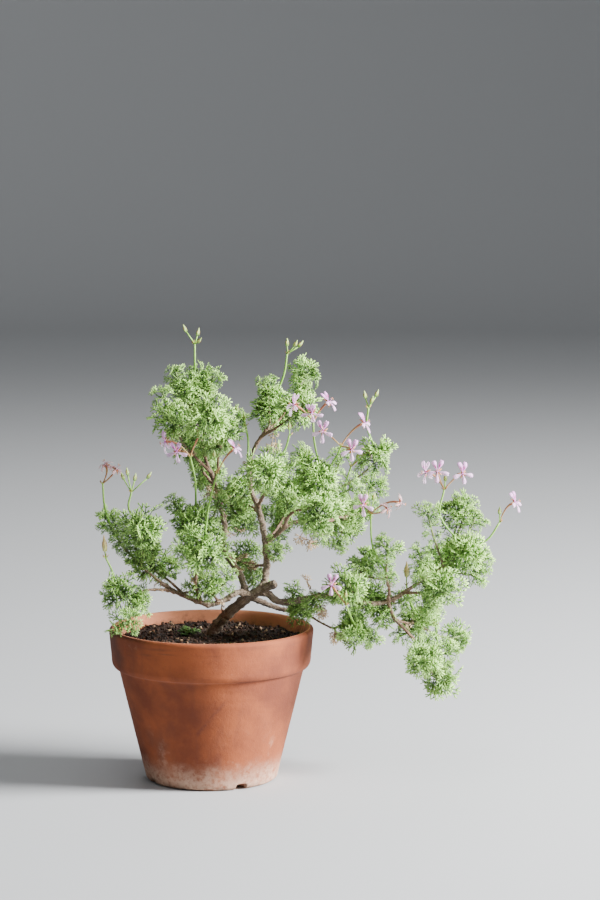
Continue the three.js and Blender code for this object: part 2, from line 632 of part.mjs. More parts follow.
// Shoots, stalks, umbels and blooms of every spray, before any leaf is placed.
const up = new THREE.Vector3(0, 0, 1);
const blooms = [];
const grown = {};
for (const [name, { twig, tufts = [], stalks = [] }] of Object.entries(SPRAYS)) {
  const { curve, radii } = branches[twig];
  const outOfTwig = curve.getTangentAt(1);
  const root = curve.getPointAt(1).addScaledVector(outOfTwig, GAP);
  const solids = [];
  const shoots = [];
  for (const [x, y, z, reach] of tufts) {
    const middle = new THREE.Vector3(x, y, z);
    const first = shoots.length === 0;
    const start = first ? root : firstJoint(shoots[0].curve, SHOOT_STEPS);
    const setOff = first ? outOfTwig : middle.clone().sub(start).normalize();
    const rise = middle.clone().sub(start).normalize().add(new THREE.Vector3(0, 0, 0.55)).normalize();
    const tip = middle.clone().addScaledVector(rise, -reach * 0.1);
    const pull = start.distanceTo(tip) / 3;
    const shoot = new THREE.CubicBezierCurve3(start, start.clone().addScaledVector(setOff, pull),
      tip.clone().addScaledVector(rise, -pull), tip);
    const solid = solidFrom(stem(shoot, Math.min(radii[1], SHOOT_RADIUS), SHOOT_RADIUS, 3, SHOOT_STEPS));
    const stand = new THREE.Quaternion().setFromUnitVectors(up, rise);
    const core = solidFrom(new THREE.IcosahedronGeometry(reach * CORE_SHARE, 0)
      .scale(1, 1, CORE_STRETCH)
      .applyQuaternion(stand)
      .translate(x, y, z));
    shoots.push({ curve: shoot, core, reach, middle, rise });
    solids.push(solid, core);
    keepClearOf(solid, name);
    keepClearOf(core, name);
  }
  stalks.forEach(({ tuft, from, points, blooms: open = [], buds = [], pods = [] }) => {
    const low = from ? vector(from) : tuft === undefined ? root : shoots[tuft].middle;
    const setOff = low === root ? [root, root.clone().addScaledVector(outOfTwig, 3)] : [low];
    const curveUp = new THREE.CatmullRomCurve3([...setOff, ...points.map(vector)], false, 'centripetal');
    const top = curveUp.getPointAt(1);
    const parts = [stem(curveUp, STALK_RADIUS, STALK_RADIUS - 0.15, 3, 3)];
    for (const [at, face, state] of open) {
      const facing = vector(face).normalize();
      const end = vector(at).addScaledVector(facing, -THROAT_DEPTH - GAP);
      const behind = end.clone().addScaledVector(facing, -0.4 * top.distanceTo(end));
      const pedicel = new THREE.QuadraticBezierCurve3(top, behind, end);
      parts.push(stem(pedicel, PEDICEL_RADIUS, CALYX_RADIUS, 3, 2));
      const withered = state === 'withered';
      const toUpper = up.clone().addScaledVector(facing, -facing.z).normalize();
      const toSide = toUpper.clone().cross(facing);
      const place = new THREE.Matrix4().makeBasis(toSide, toUpper, facing).setPosition(vector(at));
      const solid = bloomSolid(withered).transform(place.elements);
      blooms.push({ solid, withered });
      keepClearOf(solid, 'bloom');
    }
    for (const [list, length, radius] of [[buds, BUD_LENGTH, BUD_RADIUS], [pods, POD_LENGTH, POD_RADIUS]]) {
      for (const at of list) {
        const outwards = vector(at).sub(top).normalize();
        const foot = vector(at).addScaledVector(outwards, -length * 0.45);
        const upwards = outwards.clone().addScaledVector(up, 0.5).normalize();
        const stand = new THREE.Quaternion().setFromUnitVectors(up, upwards);
        parts.push(spindle(length, radius).applyQuaternion(stand).translate(foot.x, foot.y, foot.z));
        if (foot.distanceTo(top) > 1) {
          parts.push(stem(new THREE.LineCurve3(top, foot), PEDICEL_RADIUS, PEDICEL_RADIUS, 3, 1));
        }
      }
    }
    for (const part of parts) {
      const solid = solidFrom(part);
      solids.push(solid);
      keepClearOf(solid, name);
    }
  });
  grown[name] = { solids, shoots };
}

// Leaves standing out of each tuft's core on all sides but its lowest. One that would cross
// something is turned and shortened a little, up to a few times, and left out if it finds no room.
for (const [name, { solids, shoots }] of Object.entries(grown)) {
  for (const { core, reach, middle, rise } of shoots) {
    const count = Math.round(reach / LEAF_SPACING);
    const side = new THREE.Vector3(1, 0, 0).cross(rise).normalize();
    const firstTurn = 360 * draw();
    for (let i = 0; i < count; i += 1) {
      const fingers = i === 0 ? 7 : 5;
      const height = mix(-0.42, 0.98, (i + 0.5) / count);
      for (let attempt = 0; attempt < LEAF_ATTEMPTS; attempt += 1) {
        const lean = Math.acos(height) + radians((16 + 4 * attempt) * (draw() - 0.5));
        const turn = radians(firstTurn + i * TURN_TO_NEXT + (20 + 12 * attempt) * (draw() - 0.5));
        const outward = side.clone().applyAxisAngle(rise, turn);
        const way = rise.clone().multiplyScalar(Math.cos(lean)).addScaledVector(outward, Math.sin(lean));
        const roll = radians(110 * (draw() - 0.5));
        const face = rise.clone().addScaledVector(outward, -0.4).applyAxisAngle(way, roll);
        const length = reach * mix(SHORTEST_LEAF, LONGEST_LEAF, draw()) * (1 - 0.03 * attempt);
        const foot = middle.clone().addScaledVector(way, reach * LEAF_FROM_MIDDLE);
        const place = turnTo(way, face, foot);
        const solid = solidFrom(leaf(length, fingers, 0).applyMatrix4(place));
        const thick = solidFrom(leaf(length + 0.6, fingers, 0.4).applyMatrix4(place));
        if (isClear(solid, thick, name, core)) {
          solids.push(solid);
          keepClearOf(solid, name);
          break;
        }
      }
    }
  }
}

plant.add(meshOf('pot', pot, materials.clay));
plant.add(meshOf('soil', soil, materials.soil));
plant.add(meshOf('soil_seedling', seedling, materials.seedling));
plant.add(meshOf('woody_stems', joined(woodSolids), materials.bark));
for (const [name, { solids }] of Object.entries(grown)) {
  plant.add(meshOf(`spray_${name}`, joined(solids), materials.leaf));
}
blooms.forEach(({ solid, withered }, index) => {
  const material = withered ? materials.witheredPetal : materials.petal;
  plant.add(meshOf(`bloom_${index + 1}`, solid, material));
});

export default plant;
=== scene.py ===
# A potted Pelargonium abrotanifolium: an old, leaning plant in a clay pot full of soil.
# Sizes are in millimetres until a piece is finished, and then its mesh is scaled to metres.
import math
import random

import bmesh
import bpy
from mathutils import Matrix, Vector, noise
from mathutils.geometry import interpolate_bezier
from mathutils.kdtree import KDTree


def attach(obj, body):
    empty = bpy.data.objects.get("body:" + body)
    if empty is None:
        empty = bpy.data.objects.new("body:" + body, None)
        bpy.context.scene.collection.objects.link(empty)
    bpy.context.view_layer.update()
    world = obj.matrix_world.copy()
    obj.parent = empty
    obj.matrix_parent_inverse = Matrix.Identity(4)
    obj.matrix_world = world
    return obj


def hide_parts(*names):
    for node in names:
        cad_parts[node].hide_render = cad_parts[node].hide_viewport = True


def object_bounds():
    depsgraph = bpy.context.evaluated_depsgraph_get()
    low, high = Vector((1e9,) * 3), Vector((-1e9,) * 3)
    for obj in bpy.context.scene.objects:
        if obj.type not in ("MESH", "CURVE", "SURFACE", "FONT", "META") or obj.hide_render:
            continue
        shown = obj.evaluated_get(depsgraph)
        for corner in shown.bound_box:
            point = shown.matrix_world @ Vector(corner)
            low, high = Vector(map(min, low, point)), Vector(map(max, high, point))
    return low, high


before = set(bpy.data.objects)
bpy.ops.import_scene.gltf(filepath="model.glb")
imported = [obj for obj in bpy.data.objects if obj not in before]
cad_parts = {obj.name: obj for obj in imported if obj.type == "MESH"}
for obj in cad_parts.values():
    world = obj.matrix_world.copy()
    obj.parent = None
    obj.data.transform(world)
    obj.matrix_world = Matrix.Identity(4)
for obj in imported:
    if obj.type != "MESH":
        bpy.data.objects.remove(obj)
cad_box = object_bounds()

# Pot. Thrown red clay, fired without a glaze: a thick collar, a foot cut by four drain notches,
# and lime that has come out through the wall close to the ground. A point of its outline is the
# distance from the axis, the height, and how far that corner is rounded.
POT_HEIGHT = 120.0
RIM_RADIUS = 80.0
COLLAR_BOTTOM = 90.0
POT_FLOOR = 8.0
POT_OUTLINE = [
    (0, 0, 0), (48, 0, 0.6), (51.2, 1.6, 1.2), (52.5, 7, 2.0), (72.3, 88, 1.2), (75.9, 89.4, 0.8),
    (77.4, 92, 1.4), (79.7, 118, 1.4), (77, POT_HEIGHT, 1.2), (74.2, 118, 1.6),
    (65.8, COLLAR_BOTTOM, 4.0), (46, POT_FLOOR, 3.0), (0, POT_FLOOR, 0),
]
POT_STEPS = 160
BAND = 1.6
LONGEST_BAND = 6.0
DRAIN_RADIUS = 4.0
DRAIN_FROM_AXIS = 30.0
FIRST_DRAIN_ANGLE = math.radians(-152)
NOTCH_WIDTH = 9.5
NOTCH_HEIGHT = 5.0
NOTCH_ROUNDING = 2.0
UNWORN_RADIUS = 40.0
SWELL_HEIGHT = 0.3
THROWING_RING = 0.11
PIT_DEPTH = 0.9
LIP_SAG = 0.25
CLAY_DARK = (0.15, 0.032, 0.01, 1)
CLAY_LIGHT = (0.29, 0.07, 0.018, 1)
CLAY_SPECKLE = (0.15, 0.036, 0.018, 1)
CLAY_STREAK = (0.12, 0.032, 0.018, 1)
# Painted shade for the pot's left side, away from the light.
LEFT_SIDE_SHADE = (0.085, 0.028, 0.018, 1)
RING_DIRT = (0.085, 0.026, 0.016, 1)
LIME = (0.58, 0.38, 0.27, 1)
DAMP_FOOT = (0.1, 0.055, 0.035, 1)
SCUFFED = (0.085, 0.024, 0.018, 1)
# Painted light for the inside wall of the pot.
LIT_INNER_WALL = (0.7, 0.27, 0.14, 1)
SOIL_SPLASH = (0.06, 0.03, 0.02, 1)


class Flow:
    """A socket of a material, so that shader maths reads as plain expressions."""

    def __init__(self, tree, socket=None):
        self.tree = tree
        self.socket = socket

    def node(self, kind, settings, sockets, output=0):
        made = self.tree.nodes.new("ShaderNode" + kind)
        for name, value in settings.items():
            setattr(made, name, value)
        for name, value in sockets.items():
            if isinstance(value, Flow):
                self.tree.links.new(value.socket, made.inputs[name])
            else:
                made.inputs[name].default_value = value
        return Flow(self.tree, made.outputs[output])

    def maths(self, operation, *others):
        return self.node("Math", {"operation": operation}, dict(enumerate((self, *others))))

    def __add__(self, other):
        return self.maths("ADD", other)

    def __sub__(self, other):
        return self.maths("SUBTRACT", other)

    def __mul__(self, other):
        return self.maths("MULTIPLY", other)

    def __rsub__(self, other):
        return self.maths("MULTIPLY_ADD", -1.0, other)

    __radd__ = __add__
    __rmul__ = __mul__

    def between(self, low, high):
        """0 below low, 1 above high, and a smooth rise in between."""
        return self.node("MapRange", {"interpolation_type": "SMOOTHSTEP"},
                         {"Value": self, "From Min": low, "From Max": high})

    def mix(self, first, second):
        """The first colour where this is 0, and the second where it is 1."""
        return self.node("Mix", {"data_type": "RGBA"}, {0: self, 6: first, 7: second}, 2)

    def noise(self, size, detail, roughness):
        """Noise over a vector, with lumps of about that many millimetres."""
        return self.node("TexNoise", {}, {"Vector": self, "Scale": 1000 / size, "Detail": detail,
                                          "Roughness": roughness})

    def stretched(self, x, y, z):
        return self.node("Mapping", {}, {"Vector": self, "Scale": (x, y, z)})

    def part(self, name):
        return self.node("SeparateXYZ", {}, {"Vector": self}, name)

    def attribute(self, name, output):
        return self.node("Attribute", {"attribute_name": name}, {}, output)

    def into(self, shader, socket):
        self.tree.links.new(self.socket, shader.inputs[socket])

    def relief(self, shader, height):
        """Bumps of that many millimetres on the surface."""
        self.node("Bump", {}, {"Height": self, "Distance": height / 1000,
                               "Strength": 1.0}).into(shader, "Normal")


def new_finish(name, roughness):
    """A new material, its shader, and the places in space that its patterns are laid out by."""
    material = bpy.data.materials.new(name)
    material.use_nodes = True
    shader = material.node_tree.nodes["Principled BSDF"]
    shader.inputs["Roughness"].default_value = roughness
    start = Flow(material.node_tree)
    return material, shader, start.node("TexCoord", {}, {}, "Object")


def outline(points):
    """A line of edges through points given as distance from the axis and height."""
    shape = bmesh.new()
    line = [shape.verts.new((radius, 0, height)) for radius, height in points]
    for low, high in zip(line, line[1:]):
        shape.edges.new((low, high))
    return shape


def turn_round(shape, steps, weld=0.001):
    """Turns an outline once round the axis, into a skin that faces outwards."""
    bmesh.ops.spin(shape, geom=shape.verts[:] + shape.edges[:], cent=(0, 0, 0), axis=(0, 0, 1),
                   angle=math.tau, steps=steps, use_merge=True)
    bmesh.ops.remove_doubles(shape, verts=shape.verts, dist=weld)
    bmesh.ops.recalc_face_normals(shape, faces=shape.faces)


def mesh_of(bm, name):
    """Turns a bmesh that is done with into a mesh."""
    mesh = bpy.data.meshes.new(name)
    bm.to_mesh(mesh)
    bm.free()
    return mesh


def stand(name, data):
    """Puts a new object into the scene."""
    thing = bpy.data.objects.new(name, data)
    bpy.context.scene.collection.objects.link(thing)
    return thing


def place(bm, name, material, slot, *nodes):
    """Makes the finished piece of a bmesh in millimetres and tells the frame about it."""
    mesh = mesh_of(bm, name)
    mesh.transform(Matrix.Scale(0.001, 4))
    mesh.polygons.foreach_set("use_smooth", [True] * len(mesh.polygons))
    mesh.materials.append(material)
    thing = stand(name, mesh)
    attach(thing, "root")
    if nodes:
        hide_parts(*nodes)


def cut(bm, cutters):
    """Cuts the cutters' shapes out of a closed bmesh."""
    meshes = [mesh_of(shape, "shape") for shape in (bm, *cutters)]
    things = [stand("shape", mesh) for mesh in meshes]
    for cutter in things[1:]:
        boolean = things[0].modifiers.new("cut", "BOOLEAN")
        boolean.object = cutter
        boolean.solver = "EXACT"
    solid = things[0].evaluated_get(bpy.context.evaluated_depsgraph_get())
    result = bmesh.new()
    result.from_mesh(solid.to_mesh())
    for thing, mesh in zip(things, meshes):
        bpy.data.objects.remove(thing)
        bpy.data.meshes.remove(mesh)
    return result


pot = outline([(radius, height) for radius, height, _ in POT_OUTLINE])
for vert, (_, _, rounding) in zip(list(pot.verts), POT_OUTLINE):
    if rounding:
        bmesh.ops.bevel(pot, geom=[vert], offset=rounding, segments=4, profile=0.5,
                        affect="VERTICES", material=-1)
for edge in [edge for edge in pot.edges if edge.calc_length() > LONGEST_BAND]:
    bmesh.ops.subdivide_edges(pot, edges=[edge], cuts=int(edge.calc_length() / BAND))
turn_round(pot, POT_STEPS)
for vert in pot.verts:
    x, y, z = vert.co
    radius = math.hypot(x, y)
    if radius < UNWORN_RADIUS or z < 0.5:
        continue
    angle = math.atan2(y, x)
    round_about = (math.cos(angle) * 0.5, math.sin(angle) * 0.5, z / 1.9)
    swell = noise.noise(Vector((x / 42, y / 42, z / 60))) * SWELL_HEIGHT
    ring = noise.noise(Vector(round_about)) * THROWING_RING
    pit = max(0.0, noise.noise(Vector((x / 2.6, y / 2.6, z / 2.6))) - 0.42) * -PIT_DEPTH
    share = 1 + (swell + ring + pit) / radius
    sag = noise.noise(Vector((x / 30, y / 30, 7))) * LIP_SAG * (z > 112)
    vert.co = (x * share, y * share, min(z + sag, POT_HEIGHT))
notches = bmesh.new()
drains = bmesh.new()
notch_length = RIM_RADIUS - DRAIN_FROM_AXIS
for quarter in range(4):
    turn = Matrix.Rotation(FIRST_DRAIN_ANGLE + quarter * math.pi / 2, 4, "Z")
    middle = Matrix.Translation((DRAIN_FROM_AXIS + notch_length / 2, 0, 0))
    size = Matrix.Diagonal((notch_length, NOTCH_WIDTH, 2 * NOTCH_HEIGHT, 1))
    box = bmesh.ops.create_cube(notches, size=1, matrix=turn @ middle @ size)["verts"]
    edges = dict.fromkeys(edge for vert in box for edge in vert.link_edges)
    roof = [edge for edge in edges if all(vert.co.z > 0 for vert in edge.verts)]
    bmesh.ops.bevel(notches, geom=roof, offset=NOTCH_ROUNDING, segments=4, profile=0.5,
                    affect="EDGES", material=-1)
    bmesh.ops.create_cone(drains, cap_ends=True, segments=24, radius1=DRAIN_RADIUS,
                          radius2=DRAIN_RADIUS, depth=3 * POT_FLOOR,
                          matrix=turn @ Matrix.Translation((DRAIN_FROM_AXIS, 0, 0)))
pot = cut(pot, [notches, drains])

terracotta, shader, spot = new_finish("terracotta", 0.9)
height = spot.part("Z") * 1000
side = spot.part("X") * 1000
from_axis = spot.node("VectorMath", {"operation": "LENGTH"}, {0: spot.stretched(1, 1, 0)},
                      "Value") * 1000
ragged = spot.noise(13, 5, 0.7) * 26 - 13
grain = spot.noise(0.7, 2, 0.6)
clay = spot.noise(55, 5, 0.6).between(0.36, 0.66).mix(CLAY_DARK, CLAY_LIGHT)
speckle = spot.noise(1.7, 3, 0.7).between(0.58, 0.72) * 0.5
clay = speckle.mix(clay, CLAY_SPECKLE)
streak = spot.stretched(1, 1, 0.22).noise(16, 4, 0.6).between(0.52, 0.72) * 0.32
clay = streak.mix(clay, CLAY_STREAK)
# Painted shade: blotchy darkening over the left side of the pot, which is turned away from the
# light.
left_side_shade = spot.noise(48, 3, 0.5).between(0.46, 0.72) * (1 - side.between(-50, 25)) * 0.8
clay = left_side_shade.mix(clay, LEFT_SIDE_SHADE)
rings = spot.stretched(0.1, 0.1, 1.5).noise(5, 3, 0.6).between(0.5, 0.68)
rings = rings * height.between(103, 110) * (1 - height.between(116, 118))
rings = rings * spot.noise(40, 3, 0.6).between(0.35, 0.6) * 0.5
clay = rings.mix(clay, RING_DIRT)
lime = 1 - (height + ragged * 0.8).between(-2, 26)
lime = lime * spot.noise(4, 5, 0.7).between(0.2, 0.6) * 0.9
drift = spot.noise(26, 5, 0.7).between(0.58, 0.8) * (1 - height.between(14, 62)) * 0.45
chalk = spot.noise(20, 6, 0.75).between(0.6, 0.78) * height.between(86, 100) * 0.2
salts = lime + drift + chalk
clay = salts.node("Clamp", {}, {"Value": salts}).mix(clay, LIME)
damp = 1 - (height + ragged * 0.3).between(0, 7)
damp = damp * spot.noise(11, 4, 0.6).between(0.4, 0.6) * 0.6
clay = damp.mix(clay, DAMP_FOOT)
scuff_line = (side + 5) * 1.2 + 52 - height + ragged * 0.15
scuff = (1 - scuff_line.maths("ABSOLUTE").between(0.3, 4)) * side.between(-14, -5)
scuff = scuff * (1 - side.between(6, 17)) * spot.noise(5, 4, 0.6).between(0.3, 0.6) * 0.5
clay = scuff.mix(clay, SCUFFED)
# Painted light: the inner wall is painted much brighter than the clay, as if strongly lit.
inside = (1 - (from_axis - height * 0.33).between(37.2, 38.2)) * height.between(60, 90)
clay = (inside * 0.8).mix(clay, LIT_INNER_WALL)
splash = 1 - (height + ragged * 1.3).between(103, 116)
clay = (inside * splash * 0.85).mix(clay, SOIL_SPLASH)
clay.into(shader, "Base Color")
(0.82 + grain * 0.16).into(shader, "Roughness")
(grain * 0.35 + spot.noise(2.6, 4, 0.65) * 0.65).relief(shader, 0.35)
place(pot, "clay_pot", terracotta, "terracotta", "pot")

# Soil. Bark-rich potting soil, crumbly and nearly black, filled to a finger's breadth under the
# rim. Crumbs and a few pale chips of bark and grit lie on it.
SOIL_LEVEL = 110.0
SOIL_GAP = 0.3
SOIL_RADIUS = 71.2
SOIL_RINGS = 56
SOIL_STEPS = 128
SOIL_LUMP = 3.0
LEVEL_FROM = 58.0
LEVEL_ACROSS = 13.0
SEEDLING_AT = (-19.0, 20.0)
TRUNK_AT_SOIL = (-1.0, 12.0)
TRUNK_CLEARANCE = 6.0
CRUMBS = 1500
CRUMB_SIZES = (1.2, 4.2)
CHIPS = 170
CHIP_SIZES = (1.4, 5.0)
SCATTER_RADIUS = 70.0
SOIL_DARK = (0.016, 0.008, 0.005, 1)
SOIL_LIGHT = (0.04, 0.02, 0.012, 1)
SOIL_FIBRE = (0.13, 0.085, 0.055, 1)
SOIL_GRIT = (0.26, 0.2, 0.15, 1)
CRUMB_DARK = (0.015, 0.008, 0.006, 1)
CRUMB_LIGHT = (0.075, 0.035, 0.02, 1)
CRUMB_FLECK = (0.12, 0.06, 0.035, 1)
CHIP_DARK = (0.15, 0.06, 0.028, 1)
CHIP_LIGHT = (0.5, 0.34, 0.2, 1)
CHIP_STAIN = (0.09, 0.05, 0.03, 1)


def soil_lump(x, y):
    """How far the soil's surface stands above or below its level."""
    broad = math.sin(x * 0.11 + 0.6) * math.cos(y * 0.13 - 0.4)
    small = math.sin(x * 0.41 + y * 0.17) * math.sin(y * 0.37 - x * 0.12 + 1.3)
    return SOIL_LUMP * (0.55 * broad + 0.45 * small)


soil_wall = [(0, POT_FLOOR + SOIL_GAP), (45.4, POT_FLOOR + SOIL_GAP), (65.4, COLLAR_BOTTOM),
             (SOIL_RADIUS, SOIL_LEVEL - 1)]
surface = [(SOIL_RADIUS * (1 - ring / SOIL_RINGS), SOIL_LEVEL) for ring in range(1, SOIL_RINGS + 1)]
soil = outline(soil_wall + surface)
turn_round(soil, SOIL_STEPS)
for vert in soil.verts:
    x, y, z = vert.co
    if z > SOIL_LEVEL - 0.5:
        flat = Vector((x, y, 0))
        rough = noise.noise(flat / 4.5) * 1.1 + noise.noise(flat / 1.9) * 0.7
        edge = max(0.0, (math.hypot(x, y) - LEVEL_FROM) / LEVEL_ACROSS) ** 2
        vert.co.z = SOIL_LEVEL + soil_lump(x, y) + rough * (1 - edge * 0.5)

dirt, shader, spot = new_finish("potting_soil", 0.97)
earth = spot.noise(24, 4, 0.6).between(0.4, 0.62).mix(SOIL_DARK, SOIL_LIGHT)
fibre = spot.noise(0.9, 4, 0.7).between(0.6, 0.76) * 0.7
earth = fibre.mix(earth, SOIL_FIBRE)
grit = spot.noise(2.2, 3, 0.6).between(0.66, 0.74) * 0.6
grit.mix(earth, SOIL_GRIT).into(shader, "Base Color")
spot.noise(1.3, 5, 0.75).relief(shader, 1.2)
place(soil, "potting_soil", dirt, "soil", "soil")


def scatter(count, sizes, flatness, seed):
    """Rough crumbs lying on the soil, clear of the trunk and inside the pot's wall."""
    rng = random.Random(seed)
    heap = bmesh.new()
    tone = heap.verts.layers.float.new("tone")
    for _ in range(count):
        angle = rng.uniform(0, math.tau)
        radius = SCATTER_RADIUS * math.sqrt(rng.random())
        x, y = radius * math.cos(angle), radius * math.sin(angle)
        if math.hypot(x - TRUNK_AT_SOIL[0], y - TRUNK_AT_SOIL[1]) < TRUNK_CLEARANCE:
            continue
        size = rng.uniform(*sizes) * rng.uniform(0.6, 1)
        turn = Matrix.Rotation(rng.uniform(0, math.tau), 4, (rng.gauss(0, 1), rng.gauss(0, 1), 1))
        shape = Matrix.Diagonal((size, size * rng.uniform(0.6, 0.9), size * flatness, 1))
        at = Matrix.Translation((x, y, SOIL_LEVEL + soil_lump(x, y) + size * 0.25))
        verts = bmesh.ops.create_icosphere(heap, subdivisions=1, radius=0.5,
                                           matrix=at @ turn @ shape)["verts"]
        shade = rng.random()
        for vert in verts:
            vert.co += Vector([rng.uniform(-0.13, 0.13) * size for _ in range(3)])
            vert[tone] = shade
    return heap


crumb, shader, spot = new_finish("soil_crumbs", 0.95)
earth = spot.attribute("tone", "Fac").mix(CRUMB_DARK, CRUMB_LIGHT)
fleck = spot.noise(1.1, 3, 0.7).between(0.5, 0.7) * 0.5
fleck.mix(earth, CRUMB_FLECK).into(shader, "Base Color")
spot.noise(0.7, 4, 0.7).relief(shader, 0.4)
place(scatter(CRUMBS, CRUMB_SIZES, 0.75, 5), "soil_crumbs", crumb, "soil")

chip, shader, spot = new_finish("bark_chips", 0.9)
pale = spot.attribute("tone", "Fac").mix(CHIP_DARK, CHIP_LIGHT)
stain = spot.noise(0.9, 3, 0.6).between(0.45, 0.7) * 0.5
stain.mix(pale, CHIP_STAIN).into(shader, "Base Color")
spot.noise(0.6, 3, 0.7).relief(shader, 0.3)
place(scatter(CHIPS, CHIP_SIZES, 0.35, 9), "bark_chips", chip, "soil")

# Wood. One old trunk that leans out over the rim and forks low into crooked, knobbly branches.
# The bark is thin, tan to grey-brown, cracked along the branches and ringed by old leaf scars.
BRANCH_SIDES = 10
STUB_SIDES = 8
STUB_SPACING = 26.0
THINNEST_WITH_STUBS = 1.4
SKIN_CELL = 0.62
SCAR_SPACING = 6.5
SCAR_HEIGHT = 0.2
KNOB_HEIGHT = 0.95
CRACK_DEPTH = 0.2
BARK_DARK = (0.18, 0.125, 0.085, 1)
BARK_LIGHT = (0.38, 0.29, 0.205, 1)
BARK_WORN = (0.56, 0.47, 0.37, 1)
BARK_YOUNG = (0.24, 0.115, 0.06, 1)
CRACK = (0.065, 0.04, 0.026, 1)
BARK_SPECK = (0.05, 0.03, 0.02, 1)
BARK_PEEL_AND_GLINT = (0.66, 0.54, 0.42, 1)
# A branch is its radius at its start and at its end, and the points along its middle.
WOOD = {
    "trunk": (4.9, 3.1, [
        (-12, 22, 84), (-1, 12, 110), (11, 6, 127), (22, 0, 137), (32, -4, 145), (41, -8, 151),
        (50, -12, 155),
    ]),
    "left": (2.4, 1.5, [
        (32, -4, 145), (20, -12, 148), (11, -15, 143), (-1, -18, 140), (-19, -18, 146),
        (-31, -18, 152), (-38, -18, 157),
    ]),
    "left_low": (1.3, 1, [(-21, -18, 147), (-34, -29, 153), (-46, -40, 155)]),
    "left_back": (1.3, 1, [(-19, -18, 146), (-26, -9, 151), (-32, -1, 155)]),
    "left_peg": (1, 0.9, [(-7, -18, 141.5), (-14, -15, 149), (-24, -14, 147)]),
    "centre_pale": (1.4, 1.1, [(-7, -18, 141.5), (-11, -30, 155), (-10, -40, 169)]),
    "centre_low": (1.2, 1, [(6, -17, 141.5), (4, -21, 145.5)]),
    "high_left": (2.5, 1.2, [
        (28, -2, 142), (22, 8, 159), (14, 12, 170), (9, 14, 179), (10, 18, 196), (7, 20, 211),
        (2, 20, 230), (-4, 21, 246), (-10, 23, 266),
    ]),
    "high_left_back": (1.2, 0.9, [(8, 19, 205), (3, 34, 213), (-2, 50, 219)]),
    "high_left_side": (1.2, 0.9, [(3, 20, 226), (-6, 28, 236), (-11, 36, 243)]),
    "high_left_front": (1.2, 0.9, [(-1, 20, 238), (-10, 8, 249), (-17, -3, 258)]),
    "high_centre": (1.3, 1, [(2, 20, 230), (5, 4, 243), (6, -8, 254)]),
    "upright": (2.8, 1.3, [
        (38, -7, 149), (42, 0, 156), (43, 3, 167), (42, 5, 184), (39, 6, 203), (36, 6, 213),
        (31, 8, 226), (30, 9, 246), (35, 10, 261), (43, 10, 272),
    ]),
    "upright_front": (1.3, 1, [(36, 6, 213), (40, -12, 222), (42, -24, 230)]),
    "upright_dark": (1.2, 0.9, [(38, 6, 206), (33, 18, 210), (29, 26, 211)]),
    "upright_back": (1.3, 0.9, [(42, 5, 184), (49, 22, 190), (54, 38, 196)]),
    "upright_low_back": (1.3, 0.9, [(43, 3, 167), (37, 22, 164), (32, 38, 160)]),
    "upright_sprig": (1, 0.8, [(42.5, 4, 173), (47, 1, 175)]),
    "upright_spur": (1, 0.8, [(30, 9, 246), (28.5, 3, 250)]),
    "top_right": (1.2, 0.9, [(38, 10, 266.5), (48, 4, 273), (55, 0, 278)]),
    "top_back": (1.1, 0.9, [(40, 10, 269), (54, 22, 280), (62, 33, 292)]),
    "middle_right": (1.7, 1.1, [
        (42, 5, 184), (56, 0, 196), (66, 0, 202), (84, 0, 201), (99, 14, 203),
    ]),
    "middle_right_high": (1.4, 1, [(56, 0, 196), (62, -6, 209), (79, -12, 215)]),
    "middle_right_front": (1.2, 0.9, [(72, 0, 201.5), (80, -14, 204), (83, -32, 207)]),
    "middle_right_top": (1.1, 0.9, [(72, -10, 212), (88, -6, 221), (104, 2, 230)]),
    "right": (2.7, 1.3, [
        (36, -6, 148), (45, -8, 146), (53, -12, 141), (69, -16, 143), (90, -18, 147),
        (108, -14, 142), (125, -8, 139), (137, -4, 140), (151, 0, 147), (170, 0, 160),
    ]),
    "right_front": (1.3, 1, [(82, -17, 146), (91, -28, 149)]),
    "right_middle": (1.2, 1, [(123, -9, 139.5), (126, -1, 139)]),
    "right_back": (1.3, 0.9, [(106, -14, 142), (110, 6, 147), (114, 24, 152)]),
    "right_upright": (1.3, 1, [(137, -4, 140), (138, -14, 150), (136, -20, 159)]),
    "right_low": (1.5, 1.1, [(137, -4, 140), (143, -6, 126), (151, -8, 118), (158, -8, 110)]),
    "right_low_back": (1.2, 0.9, [(143, -6, 126), (149, 5, 122), (154, 12, 120)]),
    "far_back": (1.2, 0.9, [(157, 0, 151), (164, 16, 153), (168, 30, 155)]),
    "far_front": (1.2, 0.9, [(149, 0, 146), (160, -13, 148), (167, -24, 150)]),
    "low": (2.3, 1.5, [(30, -3, 143), (44, 10, 135), (56, 16, 130), (66, 18, 128.5)]),
    "low_middle": (1, 0.9, [(61, 17, 129), (66, 8, 131.5)]),
    "low_right": (1.1, 0.8, [
        (66, 18, 128.5), (78, 10, 125), (88, 0, 121), (96, -4, 119), (106, -6, 125),
    ]),
    "dead_fork": (0.8, 0.6, [(95, -4, 119), (101, -8, 112), (107, -8, 107)]),
    "dead_spur": (0.9, 0.6, [(11, 6, 127), (8, 0, 133), (9, -4, 139)]),
}


def smooth_line(points, steps=5):
    """Points on a smooth curve through the given ones."""
    points = [Vector(point) for point in points]
    before = 2 * points[0] - points[1]
    after = 2 * points[-1] - points[-2]
    padded = [before, *points, after]
    line = []
    for index in range(len(points) - 1):
        low, start, end, high = padded[index:index + 4]
        pull = (end - start).length / 3
        leave = start + (end - low).normalized() * pull
        arrive = end - (high - start).normalized() * pull
        line += interpolate_bezier(start, leave, arrive, end, steps + 1)[:-1]
    return [*line, points[-1]]


def basis(way, face):
    """A turn that brings Z to one way and X towards another."""
    z = Vector(way).normalized()
    y = z.cross(Vector(face)).normalized()
    return Matrix((y.cross(z), y, z)).transposed().to_4x4()


